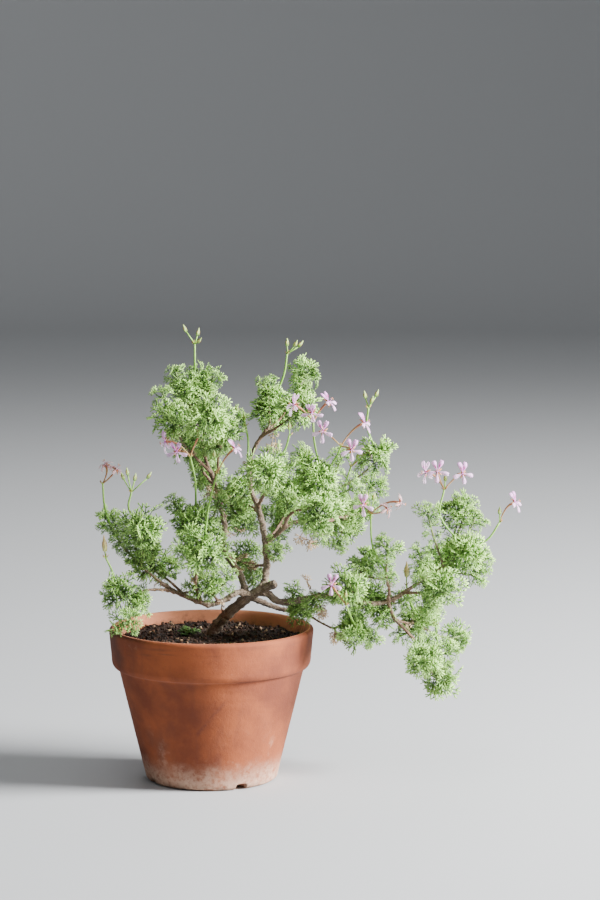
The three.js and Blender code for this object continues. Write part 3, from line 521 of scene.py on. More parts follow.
def grow(bm, line, radii, sides, paint=None, tints=None):
    """Grows a closed round stem along a line of points, ring by ring."""
    ways = [(after - before).normalized() for before, after in
            zip([line[0], *line[:-1]], [*line[1:], line[-1]])]
    turn = basis(ways[0], (0.31, 0.2, 0.93))
    made = bmesh.ops.create_circle(bm, cap_ends=True, segments=sides, radius=radii[0],
                                   matrix=Matrix.Translation(line[0]) @ turn)["verts"]
    bmesh.ops.reverse_faces(bm, faces=list(made[0].link_faces))
    ring = list(dict.fromkeys(edge for vert in made for edge in vert.link_edges))
    everything = [list(made)]
    for index in range(1, len(line)):
        grown = bmesh.ops.extrude_edge_only(bm, edges=ring)["geom"]
        ring = [item for item in grown if isinstance(item, bmesh.types.BMEdge)]
        tip = [item for item in grown if isinstance(item, bmesh.types.BMVert)]
        bend = ways[index - 1].rotation_difference(ways[index]).to_matrix().to_4x4()
        scale = Matrix.Scale(radii[index] / radii[index - 1], 4)
        back = Matrix.Translation(-line[index - 1])
        onward = Matrix.Translation(line[index]) @ bend @ scale @ back
        bmesh.ops.transform(bm, verts=tip, matrix=onward)
        everything.append(tip)
    bmesh.ops.edgeloop_fill(bm, edges=ring)
    if paint:
        for verts, tint in zip(everything, tints):
            for vert in verts:
                vert[paint] = tint


wood = bmesh.new()
lines = {}
samples = []
rng = random.Random(31)
for name, (start, end, points) in WOOD.items():
    line = smooth_line(points)
    spans = [(after - before).length for before, after in zip(line, line[1:])]
    total = sum(spans)
    radii = []
    gone = 0.0
    for index, point in enumerate(line):
        radius = start + (end - start) * gone / total
        radius *= 1 + 0.09 * math.sin(gone * 0.9 + index) * noise.noise(point / 9)
        radii.append(radius)
        if index < len(spans):
            for share in (0.0, 0.25, 0.5, 0.75):
                samples.append((point.lerp(line[index + 1], share), gone + share * spans[index],
                                radius, (line[index + 1] - point).normalized()))
            gone += spans[index]
    lines[name] = line
    grow(wood, line, radii, BRANCH_SIDES)
    for _ in range(int(total / STUB_SPACING)):
        at = rng.randrange(1, len(line) - 1)
        if radii[at] < THINNEST_WITH_STUBS:
            continue
        way = (line[at + 1] - line[at]).normalized()
        aside = Vector((rng.gauss(0, 1), rng.gauss(0, 1), rng.gauss(0, 1)))
        stub_way = (way.cross(aside).normalized() + way * 0.5).normalized()
        stub = radii[at] + rng.uniform(0.5, 2.2)
        grow(wood, [line[at], line[at] + stub_way * stub], [radii[at] * 0.62, radii[at] * 0.38],
             STUB_SIDES)

mesh = mesh_of(wood, "wood")
rough = stand("wood", mesh)
remesh = rough.modifiers.new("one_skin", "REMESH")
remesh.mode = "VOXEL"
remesh.voxel_size = SKIN_CELL
smooth = rough.modifiers.new("smooth", "SMOOTH")
smooth.iterations = 3
smooth.factor = 0.6
wood = bmesh.new()
wood.from_mesh(rough.evaluated_get(bpy.context.evaluated_depsgraph_get()).to_mesh())
bpy.data.objects.remove(rough)
bpy.data.meshes.remove(mesh)

tree = KDTree(len(samples))
for index, sample in enumerate(samples):
    tree.insert(sample[0], index)
tree.balance()
bark_marks = wood.verts.layers.float_vector.new("bark")
wood.normal_update()
moves = []
for vert in wood.verts:
    middle, gone, radius, way = samples[tree.find(vert.co)[1]]
    out = vert.co - middle
    gone += out.dot(way)
    around = noise.noise(vert.co / 2.3)
    crack = abs(noise.noise(out * (1.5 / radius) + way * gone * 0.035))
    scar = math.exp(-((gone % SCAR_SPACING) - 3.2) ** 2 / 0.5) * SCAR_HEIGHT * min(radius, 2.0)
    knob = max(0.0, noise.noise(vert.co / 4.5) - 0.1) * KNOB_HEIGHT * min(radius, 2.2)
    ridge = CRACK_DEPTH * radius * (0.42 - crack)
    moves.append(vert.normal * (ridge + scar + knob + 0.05 * around * radius))
    vert[bark_marks] = (crack * 2, radius / 5, 0)
for vert, move in zip(wood.verts, moves):
    vert.co += move

bark, shader, spot = new_finish("bark", 0.92)
marks = spot.attribute("bark", "Vector")
cracks = marks.part("X")
thickness = marks.part("Y")
tan = spot.noise(9, 4, 0.6).between(0.36, 0.66).mix(BARK_DARK, BARK_LIGHT)
worn = spot.noise(3.2, 4, 0.7).between(0.5, 0.72) * 0.55
tan = worn.mix(tan, BARK_WORN)
young = (1 - thickness.between(0.2, 0.42)) * 0.6
tan = young.mix(tan, BARK_YOUNG)
tan = ((1 - cracks.between(0.02, 0.3)) * 0.8).mix(tan, CRACK)
tan = (spot.noise(1.1, 3, 0.7).between(0.54, 0.68) * 0.65).mix(tan, BARK_SPECK)
# Pale flecks: partly peeling bark and partly painted highlights on the rough bark.
tan = (spot.noise(1.9, 4, 0.75).between(0.6, 0.72) * 0.6).mix(tan, BARK_PEEL_AND_GLINT)
tan.into(shader, "Base Color")
(spot.noise(1.4, 5, 0.75) + cracks * 0.6).relief(shader, 1.2)
place(wood, "branches", bark, "bark", "woody_stems")

# Leaves. Each has a thin petiole and a fan cut into narrow, blunt fingers, grey-green and covered
# in very short down, with painted shade at the foot and painted highlights on the tips. Eight
# leaves are shaped by the same rules and then repeated.
# A lobe is its angle, its length, and its side fingers: how far out, and on which side.
LEAF_LENGTH = 15.0
PETIOLE = 6.4
FINGER_WIDTH = 1.18
LEAF_FLATNESS = 0.6
LEAF_FORMS = 8
LOBES = [
    (0, 9.2, [(0.5, 1), (0.56, -1)]),
    (44, 8.2, [(0.54, 1), (0.48, -1)]),
    (-44, 8.2, [(0.54, -1), (0.48, 1)]),
    (90, 5.6, [(0.5, -1)]),
    (-90, 5.6, [(0.5, 1)]),
]
# Leaf tones from foot to tip: the deepest is painted shade inside the tufts, and the tip tone is a
# painted highlight.
LEAF_PAINTED_SHADE = (0.016, 0.055, 0.005, 1)
LEAF_GREEN = (0.05, 0.15, 0.012, 1)
LEAF_FRESH_AND_LIT = (0.19, 0.42, 0.04, 1)
LEAF_TIP_HIGHLIGHT = (0.58, 0.94, 0.22, 1)
LEAF_TONES = (LEAF_PAINTED_SHADE, LEAF_GREEN, LEAF_FRESH_AND_LIT, LEAF_TIP_HIGHLIGHT)
LEAF_BLOTCH = (0.33, 0.46, 0.05, 1)


def finger(bm, reach, start, way, length, width, low, high):
    """One blunt finger of a leaf. The reach layer runs from low at its foot to high at its tip."""
    turn = basis(way, (0, 0, 1))
    flat = Matrix.Diagonal((LEAF_FLATNESS, 1, 1, 1))
    at = Matrix.Translation(start + way * length / 2)
    made = bmesh.ops.create_cone(bm, cap_ends=True, segments=3, radius1=width * 0.42,
                                 radius2=width * 0.45, depth=length, matrix=at @ turn @ flat)
    for vert in made["verts"]:
        along = (vert.co - start).dot(way) / length
        vert[reach] = low + (high - low) * along


def leaf_form(seed):
    """The mesh of one leaf, with its foot at the origin and its tip out along X."""
    rng = random.Random(seed)
    leaf = bmesh.new()
    reach = leaf.verts.layers.float.new("reach")
    tilt = math.radians(rng.uniform(-12, 34))
    curl = rng.uniform(0.05, 0.4)
    for angle, length, sides in LOBES:
        angle += rng.uniform(-9, 9)
        length *= rng.uniform(0.84, 1.08)
        droop = rng.uniform(-0.08, 0.16)
        way = Vector((math.cos(math.radians(angle)), math.sin(math.radians(angle)), -droop))
        way.normalize()
        finger(leaf, reach, Vector((0, 0, 0)), way, length, FINGER_WIDTH, 0.3, 1)
        for share, side in sides:
            turned = Matrix.Rotation(side * math.radians(rng.uniform(34, 54)), 3, "Z") @ way
            turned.z += rng.uniform(-0.1, 0.22)
            finger(leaf, reach, way * length * share, turned.normalized(),
                   length * (1.04 - share) * rng.uniform(0.75, 0.95), FINGER_WIDTH * 0.95,
                   0.3 + 0.4 * share, 1)
    for vert in leaf.verts:
        vert.co.z += curl * (abs(vert.co.y) - 0.11 * vert.co.x * vert.co.x)
    lean = Matrix.Translation((PETIOLE, 0, 0.5)) @ Matrix.Rotation(tilt, 4, "Y")
    bmesh.ops.transform(leaf, verts=leaf.verts, matrix=lean)
    foot = Vector((0, 0, 0))
    for middle, shades in ((Vector((PETIOLE * 0.5, 0, 1.1)), (0, 0.15)),
                           (Vector((PETIOLE, 0, 0.5)), (0.15, 0.3))):
        way = middle - foot
        finger(leaf, reach, foot, way.normalized(), way.length * 1.04, FINGER_WIDTH * 0.85, *shades)
        foot = middle
    return mesh_of(leaf, "leaf")


def blend_colours(first, second, share):
    share = min(1.0, max(0.0, share))
    return tuple(a + (b - a) * share for a, b in zip(first, second))


leaf_forms = [leaf_form(seed) for seed in range(LEAF_FORMS)]
leaf_reach = []
for form in leaf_forms:
    values = [0.0] * len(form.vertices)
    form.attributes["reach"].data.foreach_get("value", values)
    leaf_reach.append(values)


def put_leaf(bm, rng, foot, way, face, length, freshness_and_light, tones=LEAF_TONES):
    """Adds one of the leaves, scaled to a length, tinted from painted shade at its foot to painted
    highlights at its tips.
    """
    painted_shade, green, fresh, tip = tones
    number = rng.randrange(LEAF_FORMS)
    mesh = leaf_forms[number].copy()
    x = Vector(way).normalized()
    y = Vector(face).cross(x).normalized()
    turn = Matrix((x, y, x.cross(y))).transposed().to_4x4()
    mirror = Matrix.Diagonal((1, rng.choice((-1, 1)), 1, 1))
    mesh.transform(Matrix.Translation(foot) @ turn @ Matrix.Scale(length / LEAF_LENGTH, 4) @ mirror)
    if mirror[1][1] < 0:
        mesh.flip_normals()
    body = blend_colours(green, fresh, freshness_and_light)
    tints = mesh.attributes.new("tint", "FLOAT_COLOR", "POINT")
    colours = []
    for reach in leaf_reach[number]:
        # Painted shade at the foot of each leaf, rising to painted highlights at the tips.
        if reach < 0.5:
            colours.extend(blend_colours(painted_shade, body, reach / 0.5))
        else:
            colours.extend(blend_colours(body, tip, (reach - 0.5) * (0.8 + 0.9 * freshness_and_light)))
    tints.data.foreach_set("color", colours)
    bm.from_mesh(mesh)
    bpy.data.meshes.remove(mesh)


def leaf_finish(name, roughness, down):
    """The surface of a leaf or shoot: its tint varied a little, softened by short down."""
    material, shader, spot = new_finish(name, roughness)
    uneven = spot.noise(2.4, 3, 0.6).between(0.3, 0.7)
    hue = spot.node("HueSaturation", {}, {"Color": spot.attribute("tint", "Color"),
                                          "Value": 0.86 + uneven * 0.3,
                                          "Saturation": 1.04 - uneven * 0.12})
    blotch = spot.noise(7, 3, 0.6).between(0.52, 0.72) * 0.32
    blotch.mix(hue, LEAF_BLOTCH).into(shader, "Base Color")
    (roughness - 0.1 + uneven * 0.2).into(shader, "Roughness")
    spot.noise(0.5, 3, 0.7).relief(shader, 0.12)
    shader.inputs["Sheen Weight"].default_value = down
    shader.inputs["Sheen Roughness"].default_value = 0.5
    return material


foliage = leaf_finish("foliage", 0.55, 0.06)

# Leafy sprays. Thin green shoots grow from the twigs, each leafy all round at its end, and flower
# stalks rise from them with an umbel of blooms, buds or pods.
SHOOT_RADII = (1.0, 0.7)
FORK_RADII = (0.7, 0.45)
STALK_RADII = (0.85, 0.73)
BRACT_RADII = (0.55, 0.2)
BRACTS = 5
PEDICEL_RADIUS = 0.5
PEDICEL_RADII = (0.55, 0.55, 0.58, 0.64, 0.76, 0.9, 1.0)
THROAT_DEPTH = 2.2
THROAT_CLEARANCE = 0.3
BUD_SEPALS = 4
LEAVES_PER_AREA = 0.12
LEAVES_AT_JOINT = 2
SHORTEST_LEAF = 10.0
LONGEST_LEAF = 18.0
LEAF_MARGIN = 1.3
SPIRAL_TURN = math.radians(137.5)
SHOOT_GREEN = (0.12, 0.19, 0.05, 1)
SHOOT_BROWN = (0.17, 0.1, 0.055, 1)
STALK_LOW = (0.14, 0.34, 0.02, 1)
STALK_HIGH = (0.24, 0.47, 0.055, 1)
PEDICEL = (0.4, 0.24, 0.09, 1)
CALYX = (0.42, 0.13, 0.06, 1)
BUD = (0.23, 0.44, 0.06, 1)
BUD_TIP = (0.44, 0.56, 0.17, 1)
POD = (0.46, 0.5, 0.15, 1)
POD_TIP = (0.5, 0.33, 0.13, 1)
# A spray is the twig it grows from, its tufts and its flower stalks. A tuft is the middle of its
# leaves and how far they reach. A stalk rises from a tuft, a point or the twig, through its points,
# and a bloom on it is its middle, the way it faces, and whether it has withered.
SPRAYS = {
    "left_high": ("left", [
        (-77, -24, 203, 13), (-49, -52, 203, 17), (-70, -30, 192, 8), (-44, -40, 190, 9),
        (-59, -40, 205, 8),
    ], [
        {"from": 0, "points": [(-81, -26, 219), (-82, -26, 235)], "blooms": [
            ((-80, -27, 250), (-0.3, -0.4, 0.85), "withered"),
            ((-71, -30, 247), (0.5, -0.3, 0.8), "withered")]},
        {"from": 1, "points": [(-61, -46, 218), (-59, -46, 231)],
         "buds": [(-66, -46, 243), (-62, -49, 247), (-56, -44, 242), (-45, -44, 243)]},
    ]),
    "left_back": ("left_back", [(-48, 12, 166, 16), (-31, 5, 166, 10)], []),
    "left_low": ("left_low", [(-69, -58, 154, 15), (-63, -72, 135, 12), (-50, -55, 149, 10)], [
        {"from": 0, "points": [(-73, -60, 172), (-78, -60, 183)], "pods": [(-79, -60, 193)]},
    ]),
    "centre_pale": ("centre_pale", [
        (-11, -32, 206, 17), (-4, -60, 187, 17), (7, -40, 194, 9), (6, -24, 220, 9),
        (-26, -36, 221, 7), (-20, -40, 209, 9), (-20, -60, 192, 9),
    ], [
        {"from": 0, "points": [(-11, -28, 236), (-15, -28, 256)], "blooms": [
            ((-34, -36, 268), (-0.85, -0.4, -0.1)), ((-25, -33, 260), (-0.35, -0.85, -0.3)),
            ((-6, -30, 276), (0.45, -0.2, 0.8))]},
        {"from": 1, "points": [(0, -50, 222), (6, -46, 245)],
         "blooms": [((20, -48, 265), (0.75, -0.2, 0.6))], "buds": [(4, -46, 260)]},
    ]),
    "centre_low": ("centre_low", [(-2, -21, 156, 13), (13, -16, 160, 9), (-14, -26, 156, 8)], []),
    "top_left": ("high_left", [
        (-13, 28, 303, 17), (-27, 20, 314, 8), (1, 26, 311, 8), (-11, 30, 315, 8),
        (-20, 20, 306, 9),
    ], [
        {"from": 0, "points": [(-13, 26, 324), (-13, 26, 338)],
         "buds": [(-21, 22, 350), (-10, 26, 347), (-9, 22, 340)]},
    ]),
    "left_top_front": ("high_left_front", [(-29, -22, 286, 16), (-36, -12, 302, 8)], []),
    "left_top_side": ("high_left_side", [
        (-20, 52, 255, 15), (-16, 48, 247, 8), (-5, 30, 245, 8),
    ], []),
    "left_top_back": ("high_left_back", [
        (-7, 80, 228, 13), (1, 60, 235, 9), (-11, 66, 228, 8),
    ], []),
    "top_centre": ("high_centre", [
        (14, -12, 276, 14), (-1, -48, 289, 17), (20, 0, 283, 8), (-3, 4, 261, 9), (9, -4, 266, 8),
    ], []),
    "middle_stalk": ("upright_spur", [], [
        {"points": [(29, -1, 265), (27, -2, 277)], "buds": [(20, -2, 290), (26, -4, 284)]},
    ]),
    "top": ("upright", [(44, 34, 285, 18), (44, 28, 306, 9)], [
        {"from": 0, "points": [(56, 30, 312), (59, 28, 330)],
         "buds": [(59, 26, 339), (66, 22, 338), (70, 28, 337)]},
    ]),
    "top_right": ("top_right", [(67, -8, 291, 15)], []),
    "top_back": ("top_back", [(74, 52, 314, 13), (74, 35, 299, 8)], []),
    "middle_front": ("upright_front", [(43, -55, 249, 17), (61, -45, 251, 9)], [
        {"from": 0, "points": [(57, -44, 262), (61, -42, 274)], "buds": [(61, -42, 281)]},
    ]),
    "middle_dark": ("upright_dark", [
        (25, 15, 226, 13), (25, 50, 198, 13), (8, 30, 211, 8), (13, 20, 226, 8), (9, 26, 198, 9),
        (19, 30, 205, 8),
    ], []),
    "middle_back": ("upright_back", [
        (59, 72, 215, 17), (52, 60, 186, 8), (39, 66, 200, 9), (59, 40, 211, 10), (49, 50, 182, 8),
    ], []),
    "low_back": ("upright_low_back", [(22, 80, 165, 13), (35, 64, 147, 11), (18, 60, 162, 9)], []),
    "sprig": ("upright_sprig", [(51, -6, 181, 9)], []),
    "right_high": ("middle_right_high", [
        (86, -40, 241, 18), (68, -30, 258, 8), (100, -42, 257, 8), (96, -30, 223, 10),
        (109, -20, 232, 9),
    ], [
        {"from": 0, "points": [(80, -38, 268), (79, -37, 283)], "blooms": [
            ((64, -40, 297), (-0.8, -0.45, 0.35)), ((78, -43, 291), (-0.2, -0.8, -0.5)),
            ((91, -34, 299), (0.7, -0.3, 0.6))]},
        {"from": 0, "points": [(97, -42, 258), (100, -44, 266)], "blooms": [
            ((86, -52, 278), (-0.3, -0.95, 0.1)), ((108, -53, 264), (0.1, -0.95, -0.2)),
            ((118, -46, 284), (0.85, -0.3, 0.4))]},
    ]),
    "right_front": ("middle_right_front", [
        (83, -70, 217, 16), (85, -50, 201, 8), (71, -30, 207, 9),
    ], []),
    "right_side": ("middle_right", [
        (105, 45, 201, 16), (126, 68, 220, 12), (99, 30, 182, 10), (123, 40, 207, 8),
        (110, 40, 197, 9),
    ], [
        {"from": 0, "points": [(105, 38, 226), (109, 30, 241)],
         "blooms": [((123, 24, 254), (0.7, -0.3, 0.6), "withered")],
         "buds": [(109, 28, 254), (115, 26, 250)]},
    ]),
    "right_top": ("middle_right_top", [(130, 12, 251, 14)], [
        {"from": 0, "points": [(121, 8, 275), (122, 6, 290)],
         "buds": [(119, 6, 300), (129, 6, 301), (125, 4, 296)]},
    ]),
    "lower_front": ("right_front", [(105, -34, 156, 16), (97, -20, 150, 9)], []),
    "lower_middle": ("right_middle", [
        (130, 9, 140, 14), (136, 0, 126, 10), (116, -14, 137, 9), (149, 10, 138, 9),
    ], []),
    "lower_back": ("right_back", [(118, 62, 160, 13), (139, 40, 152, 9), (126, 50, 164, 9)], []),
    "lower_upright": ("right_upright", [(136, -30, 186, 11)], [
        {"from": (136, -23.5, 165), "points": [(125, -28, 185), (123, -28, 212)], "blooms": [
            ((117, -39, 220), (-0.3, -0.9, 0)), ((136, -36, 217), (0.6, -0.5, 0.5), "withered"),
            ((146, -34, 221), (0.8, -0.3, -0.2), "withered")],
         "buds": [(120, -28, 226), (126, -26, 225)]},
    ]),
    "low_front": ("low_right", [
        (115, -36, 119, 13), (104, -30, 124, 9), (124, -36, 117, 8), (109, -30, 136, 9),
    ], [
        {"from": 0, "points": [(108, -44, 134), (104, -50, 145)],
         "blooms": [((93, -54, 161), (-0.2, -0.85, 0.4))], "buds": [(104, -50, 153)]},
    ]),
    "low_middle": ("low_middle", [(69, -5, 133, 11), (63, -12, 148, 9), (80, -24, 144, 9)], []),
    "far_right": ("right", [
        (196, -12, 184, 18), (167, -34, 212, 10), (194, 26, 206, 15), (206, -6, 162, 11),
        (205, 14, 201, 9), (200, 26, 211, 8), (212, -4, 172, 8),
    ], [
        {"from": 0, "points": [(177, -14, 208), (180, -15, 229)], "blooms": [
            ((165, -21, 243), (-0.75, -0.6, 0.1)), ((174, -31, 245), (0, -0.95, 0.2)),
            ((194, -20, 242), (0.35, -0.9, 0.15))], "buds": [(181, -14, 238)]},
        {"from": 0, "points": [(213, -12, 189), (223, -12, 203)],
         "blooms": [((235, -14, 219), (0.8, -0.4, 0.35))], "buds": [(223, -12, 212)]},
    ]),
    "far_back": ("far_back", [
        (177, 62, 160, 15), (181, 40, 142, 9), (163, 50, 170, 9), (163, 46, 156, 9),
    ], []),
    "far_front": ("far_front", [
        (179, -50, 155, 15), (162, -40, 161, 9), (169, -30, 141, 8), (166, -20, 131, 8),
    ], []),
    "low_far": ("right_low_back", [
        (163, 23, 121, 14), (194, 30, 106, 13), (150, 15, 110, 9), (173, 30, 126, 9),
        (157, 20, 134, 9),
    ], [
        {"from": 0, "points": [(155, 12, 137), (152, 6, 151)], "pods": [(152, 4, 163)]},
    ]),
    "lowest": ("right_low", [
        (161, -40, 100, 15), (179, 10, 77, 15), (185, -8, 101, 10), (168, -20, 111, 9),
        (183, 4, 86, 8),
    ], [
        {"from": 1, "points": [(176, 0, 104), (175, -1, 121)], "buds": [(176, -1, 133)]},
    ]),
}
UP = Vector((0, 0, 1))
limits = [(low * 1000 + LEAF_MARGIN, high * 1000 - LEAF_MARGIN) for low, high in zip(*cad_box)]


def fits(foot, way, length):
    """Whether a leaf stays inside the plant's own size."""
    tip = foot + way * length
    return all(low < value < high for value, (low, high) in zip(tip, limits))


def tinted():
    """An empty bmesh whose points carry a tint."""
    shape = bmesh.new()
    shape.verts.layers.float_color.new("tint")
    return shape


def join(bm, other):
    """Adds one bmesh to another, which keeps each small one quick to work on."""
    mesh = mesh_of(other, "part")
    bm.from_mesh(mesh)
    bpy.data.meshes.remove(mesh)


def strand(bm, line, radii, sides, low, high):
    """Adds a thin stem, tinted from low to high. Its radii are at its ends, or at every point."""
    last = len(line) - 1
    if len(radii) == 2:
        start, end = radii
        radii = [start + (end - start) * i / last for i in range(last + 1)]
    tints = [blend_colours(low, high, i / last) for i in range(last + 1)]
    small = tinted()
    grow(small, line, radii, sides, small.verts.layers.float_color["tint"], tints)
    join(bm, small)


def leaves_round(bm, rng, line, middle, rise, reach):
    """A tuft: a few tips that spread from the end of a shoot, each with its leaves in a spiral,
    and smaller leaves down the shoot."""
    tips = 5 if reach > 13 else 4 if reach > 9 else 3
    rows = round(2 + reach * reach * LEAVES_PER_AREA / tips)
    turn = rng.uniform(0, math.tau)
    side = rise.orthogonal().normalized()
    fork = middle - rise * reach * 0.4
    for tip in range(tips):
        outward = Matrix.Rotation(turn + tip * math.tau / tips, 3, rise) @ side
        spread = math.radians(rng.uniform(18, 62))
        tall = reach * rng.uniform(0.45, 0.88)
        axis = (rise * math.cos(spread) + outward * math.sin(spread)).normalized()
        strand(bm, [fork, fork + axis * tall * 0.5, fork + axis * tall], FORK_RADII, 5,
               SHOOT_GREEN, STALK_LOW)
        around = axis.orthogonal().normalized()
        for row in range(rows):
            share = (row + 0.5) / rows
            turn += SPIRAL_TURN + rng.uniform(-0.3, 0.3)
            outward = Matrix.Rotation(turn, 3, axis) @ around
            lean = math.radians(94 - 78 * share ** 1.2 + rng.uniform(-22, 22))
            way = (axis * math.cos(lean) + outward * math.sin(lean)).normalized()
            length = min(LONGEST_LEAF, max(SHORTEST_LEAF, reach * rng.uniform(0.8, 1.25)))
            foot = fork + axis * tall * share
            face = axis - 0.25 * outward + Vector([rng.gauss(0, 0.45) for _ in range(3)])
            # Leaves further out along each tip get a fresher, brighter tint. This is partly young
            # growth and partly painted shade on the leaves deep inside the tuft.
            freshness_and_light = min(1.0, max(0.0, 0.1 + 0.6 * share + rng.gauss(0, 0.25)))
            if fits(foot, way, length):
                put_leaf(bm, rng, foot, way, face, length, freshness_and_light)
    for point, after in zip(line[1:-1], line[2:]):
        if (point - middle).length < reach * 0.6:
            continue
        for _ in range(LEAVES_AT_JOINT):
            turn += SPIRAL_TURN
            onward = (after - point).normalized()
            outward = Matrix.Rotation(turn, 3, onward) @ onward.orthogonal().normalized()
            way = (onward * rng.uniform(0.1, 0.7) + outward).normalized()
            length = rng.uniform(0.8, 1) * SHORTEST_LEAF
            if fits(point, way, length):
                put_leaf(bm, rng, point, way, onward, length, rng.uniform(0.0, 0.6))


def closed_flower(bm, top, at, length, radius, body, tip):
    """A bud or pod on its pedicel, swollen in the middle and held by its sepals."""
    outwards = (at - top).normalized()
    foot = at - outwards * length * 0.45
    if (foot - top).length > 1:
        strand(bm, [top, top.lerp(foot, 0.5), foot], (PEDICEL_RADIUS, PEDICEL_RADIUS), 6,
               STALK_HIGH, STALK_HIGH)
    upright = (outwards + UP * 0.5).normalized()
    line = [foot + upright * length * s for s in (0, 0.12, 0.3, 0.5, 0.68, 0.84, 1)]
    swell = [radius * s for s in (0.35, 0.8, 1, 0.95, 0.66, 0.4, 0.16)]
    strand(bm, line, swell, 8, body, tip)
    for index in range(BUD_SEPALS):
        turn = Matrix.Rotation(index * math.pi / 2 + 0.4, 3, upright)
        side = turn @ upright.orthogonal().normalized()
        sepal = [foot + upright * length * s + side * radius * w
                 for s, w in ((0.05, 0.7), (0.35, 1.06), (0.62, 0.95))]
        strand(bm, sepal, (0.4, 0.12), 5, body, CALYX)


blooms = []
twig_ends = []
for number, (name, (twig, tufts, stalks)) in enumerate(SPRAYS.items()):
    rng = random.Random(700 + number)
    green = tinted()
    root = lines[twig][-1]
    out = (root - lines[twig][-2]).normalized()
    twig_ends.append((root, out))
    shoots = []
    for x, y, z, reach in tufts:
        middle = Vector((x, y, z))
        start = shoots[0][1][4] if shoots else root
        set_off = (middle - start).normalized() if shoots else out
        rise = ((middle - start).normalized() + UP * 0.55).normalized()
        tip = middle - rise * reach * 0.1
        pull = (tip - start).length / 3
        line = interpolate_bezier(start, start + set_off * pull, tip - rise * pull, tip, 12)
        line.append(middle + rise * reach * 0.3)
        shoots.append((middle, line))
        strand(green, line, SHOOT_RADII, 7, SHOOT_BROWN, SHOOT_GREEN)
        leaves_round(green, rng, line, middle, rise, reach)
    for stalk in stalks:
        low = stalk.get("from", root)
        if isinstance(low, int):
            low = shoots[low][0]
        line = smooth_line([low, *stalk["points"]])
        top = line[-1]
        strand(green, line, STALK_RADII, 8, STALK_LOW, STALK_HIGH)
        for _ in range(BRACTS):
            way = Vector((rng.gauss(0, 1), rng.gauss(0, 1), 0.5)).normalized()
            strand(green, [top, top + way * 1.6, top + way * 2.6 + UP * 0.9], BRACT_RADII, 5,
                   STALK_HIGH, CALYX)
        for at, face, *withered in stalk.get("blooms", []):
            facing = Vector(face).normalized()
            end = Vector(at) - facing * (THROAT_DEPTH + THROAT_CLEARANCE)
            behind = end - facing * 0.4 * (top - end).length
            arc = [top.lerp(behind, s / 6).lerp(behind.lerp(end, s / 6), s / 6) for s in range(7)]
            strand(green, arc, PEDICEL_RADII, 7, PEDICEL, CALYX)
            blooms.append((Vector(at), facing, bool(withered)))
        for at in stalk.get("buds", []):
            closed_flower(green, top, Vector(at), 6.2, 1.25, BUD, BUD_TIP)
        for at in stalk.get("pods", []):
            closed_flower(green, top, Vector(at), 13, 1.9, POD, POD_TIP)
    place(green, "leaves_" + name, foliage, "foliage", "spray_" + name)

# Blooms. Five petals on a short throat: two narrow upright ones with a dark pink streak and veins,
# and three paler ones below. Five green-red sepals are bent back behind them, and the stamens
# stand out in front. Withered blooms are smaller, curled and brownish pink.
PETAL_THICKNESS = 0.16
PETAL_PINK = (1.0, 0.28, 0.94, 1)
PETAL_PALE = (1.0, 0.54, 1.0, 1)
PETAL_WITHERED = (0.74, 0.36, 0.4, 1)
PETAL_STREAK = (0.42, 0.006, 0.2, 1)
PETAL_VEIN = (0.6, 0.2, 0.45, 1)
ANTHER = (0.55, 0.2, 0.06, 1)
FILAMENT = (0.75, 0.4, 0.6, 1)
SEPAL = (0.5, 0.26, 0.1, 1)
SEPALS = 5
STAMENS = 5
# A petal is its angle, its length, its width, and how much it is one of the upper two.
PETALS = [(70, 8.8, 3.7, 1.0), (110, 8.8, 3.7, 1.0), (200, 8.5, 3.3, 0.3), (270, 8.6, 3.4, 0.3),
          (340, 8.5, 3.3, 0.3)]


def petal(bm, rng, angle, length, width, upper, withered):
    """Adds one spoon-shaped petal, arched back and rippled, with its own thickness."""
    sheet = bmesh.new()
    tint = sheet.verts.layers.float_color.new("tint")
    mark = sheet.verts.layers.float_vector.new("petal")
    bmesh.ops.create_grid(sheet, x_segments=9, y_segments=4, size=0.5)
    curl = rng.uniform(0.8, 1.2) * (3.0 if withered else 1.0)
    length *= rng.uniform(0.94, 1.02) * (0.72 if withered else 1)
    width *= 0.6 if withered else 1
    wave = rng.uniform(0, 6)
    for vert in sheet.verts:
        u, v = vert.co.x + 0.5, vert.co.y
        spoon = 0.2 + 0.8 * min(1.0, max(0.0, (u - 0.08) / 0.55)) ** 1.3
        round_end = math.sqrt(max(0.05, 1 - max(0.0, (u - 0.78) / 0.25) ** 2))
        x = length * (u - 0.06 * (1 - abs(2 * v)) * (u > 0.95))
        lift = 0.5 * x - 0.052 * curl * x * x - 0.9 * v * v * width
        ripple = 0.22 * math.sin(wave + 7 * u) * 2 * v
        vert.co = (x, v * width * spoon * round_end, lift + ripple)
        body = blend_colours(PETAL_PALE, PETAL_PINK, upper * 0.8 + 0.15 * rng.random())
        vert[tint] = PETAL_WITHERED if withered else body
        vert[mark] = (u, v + 0.5, upper * (0.4 if withered else 1))
    bmesh.ops.solidify(sheet, geom=sheet.faces[:], thickness=PETAL_THICKNESS)
    turn = Matrix.Rotation(math.radians(angle + rng.uniform(-5, 5)), 4, "Z")
    bmesh.ops.transform(sheet, verts=sheet.verts, matrix=turn @ Matrix.Translation((0.5, 0, 0)))
    join(bm, sheet)


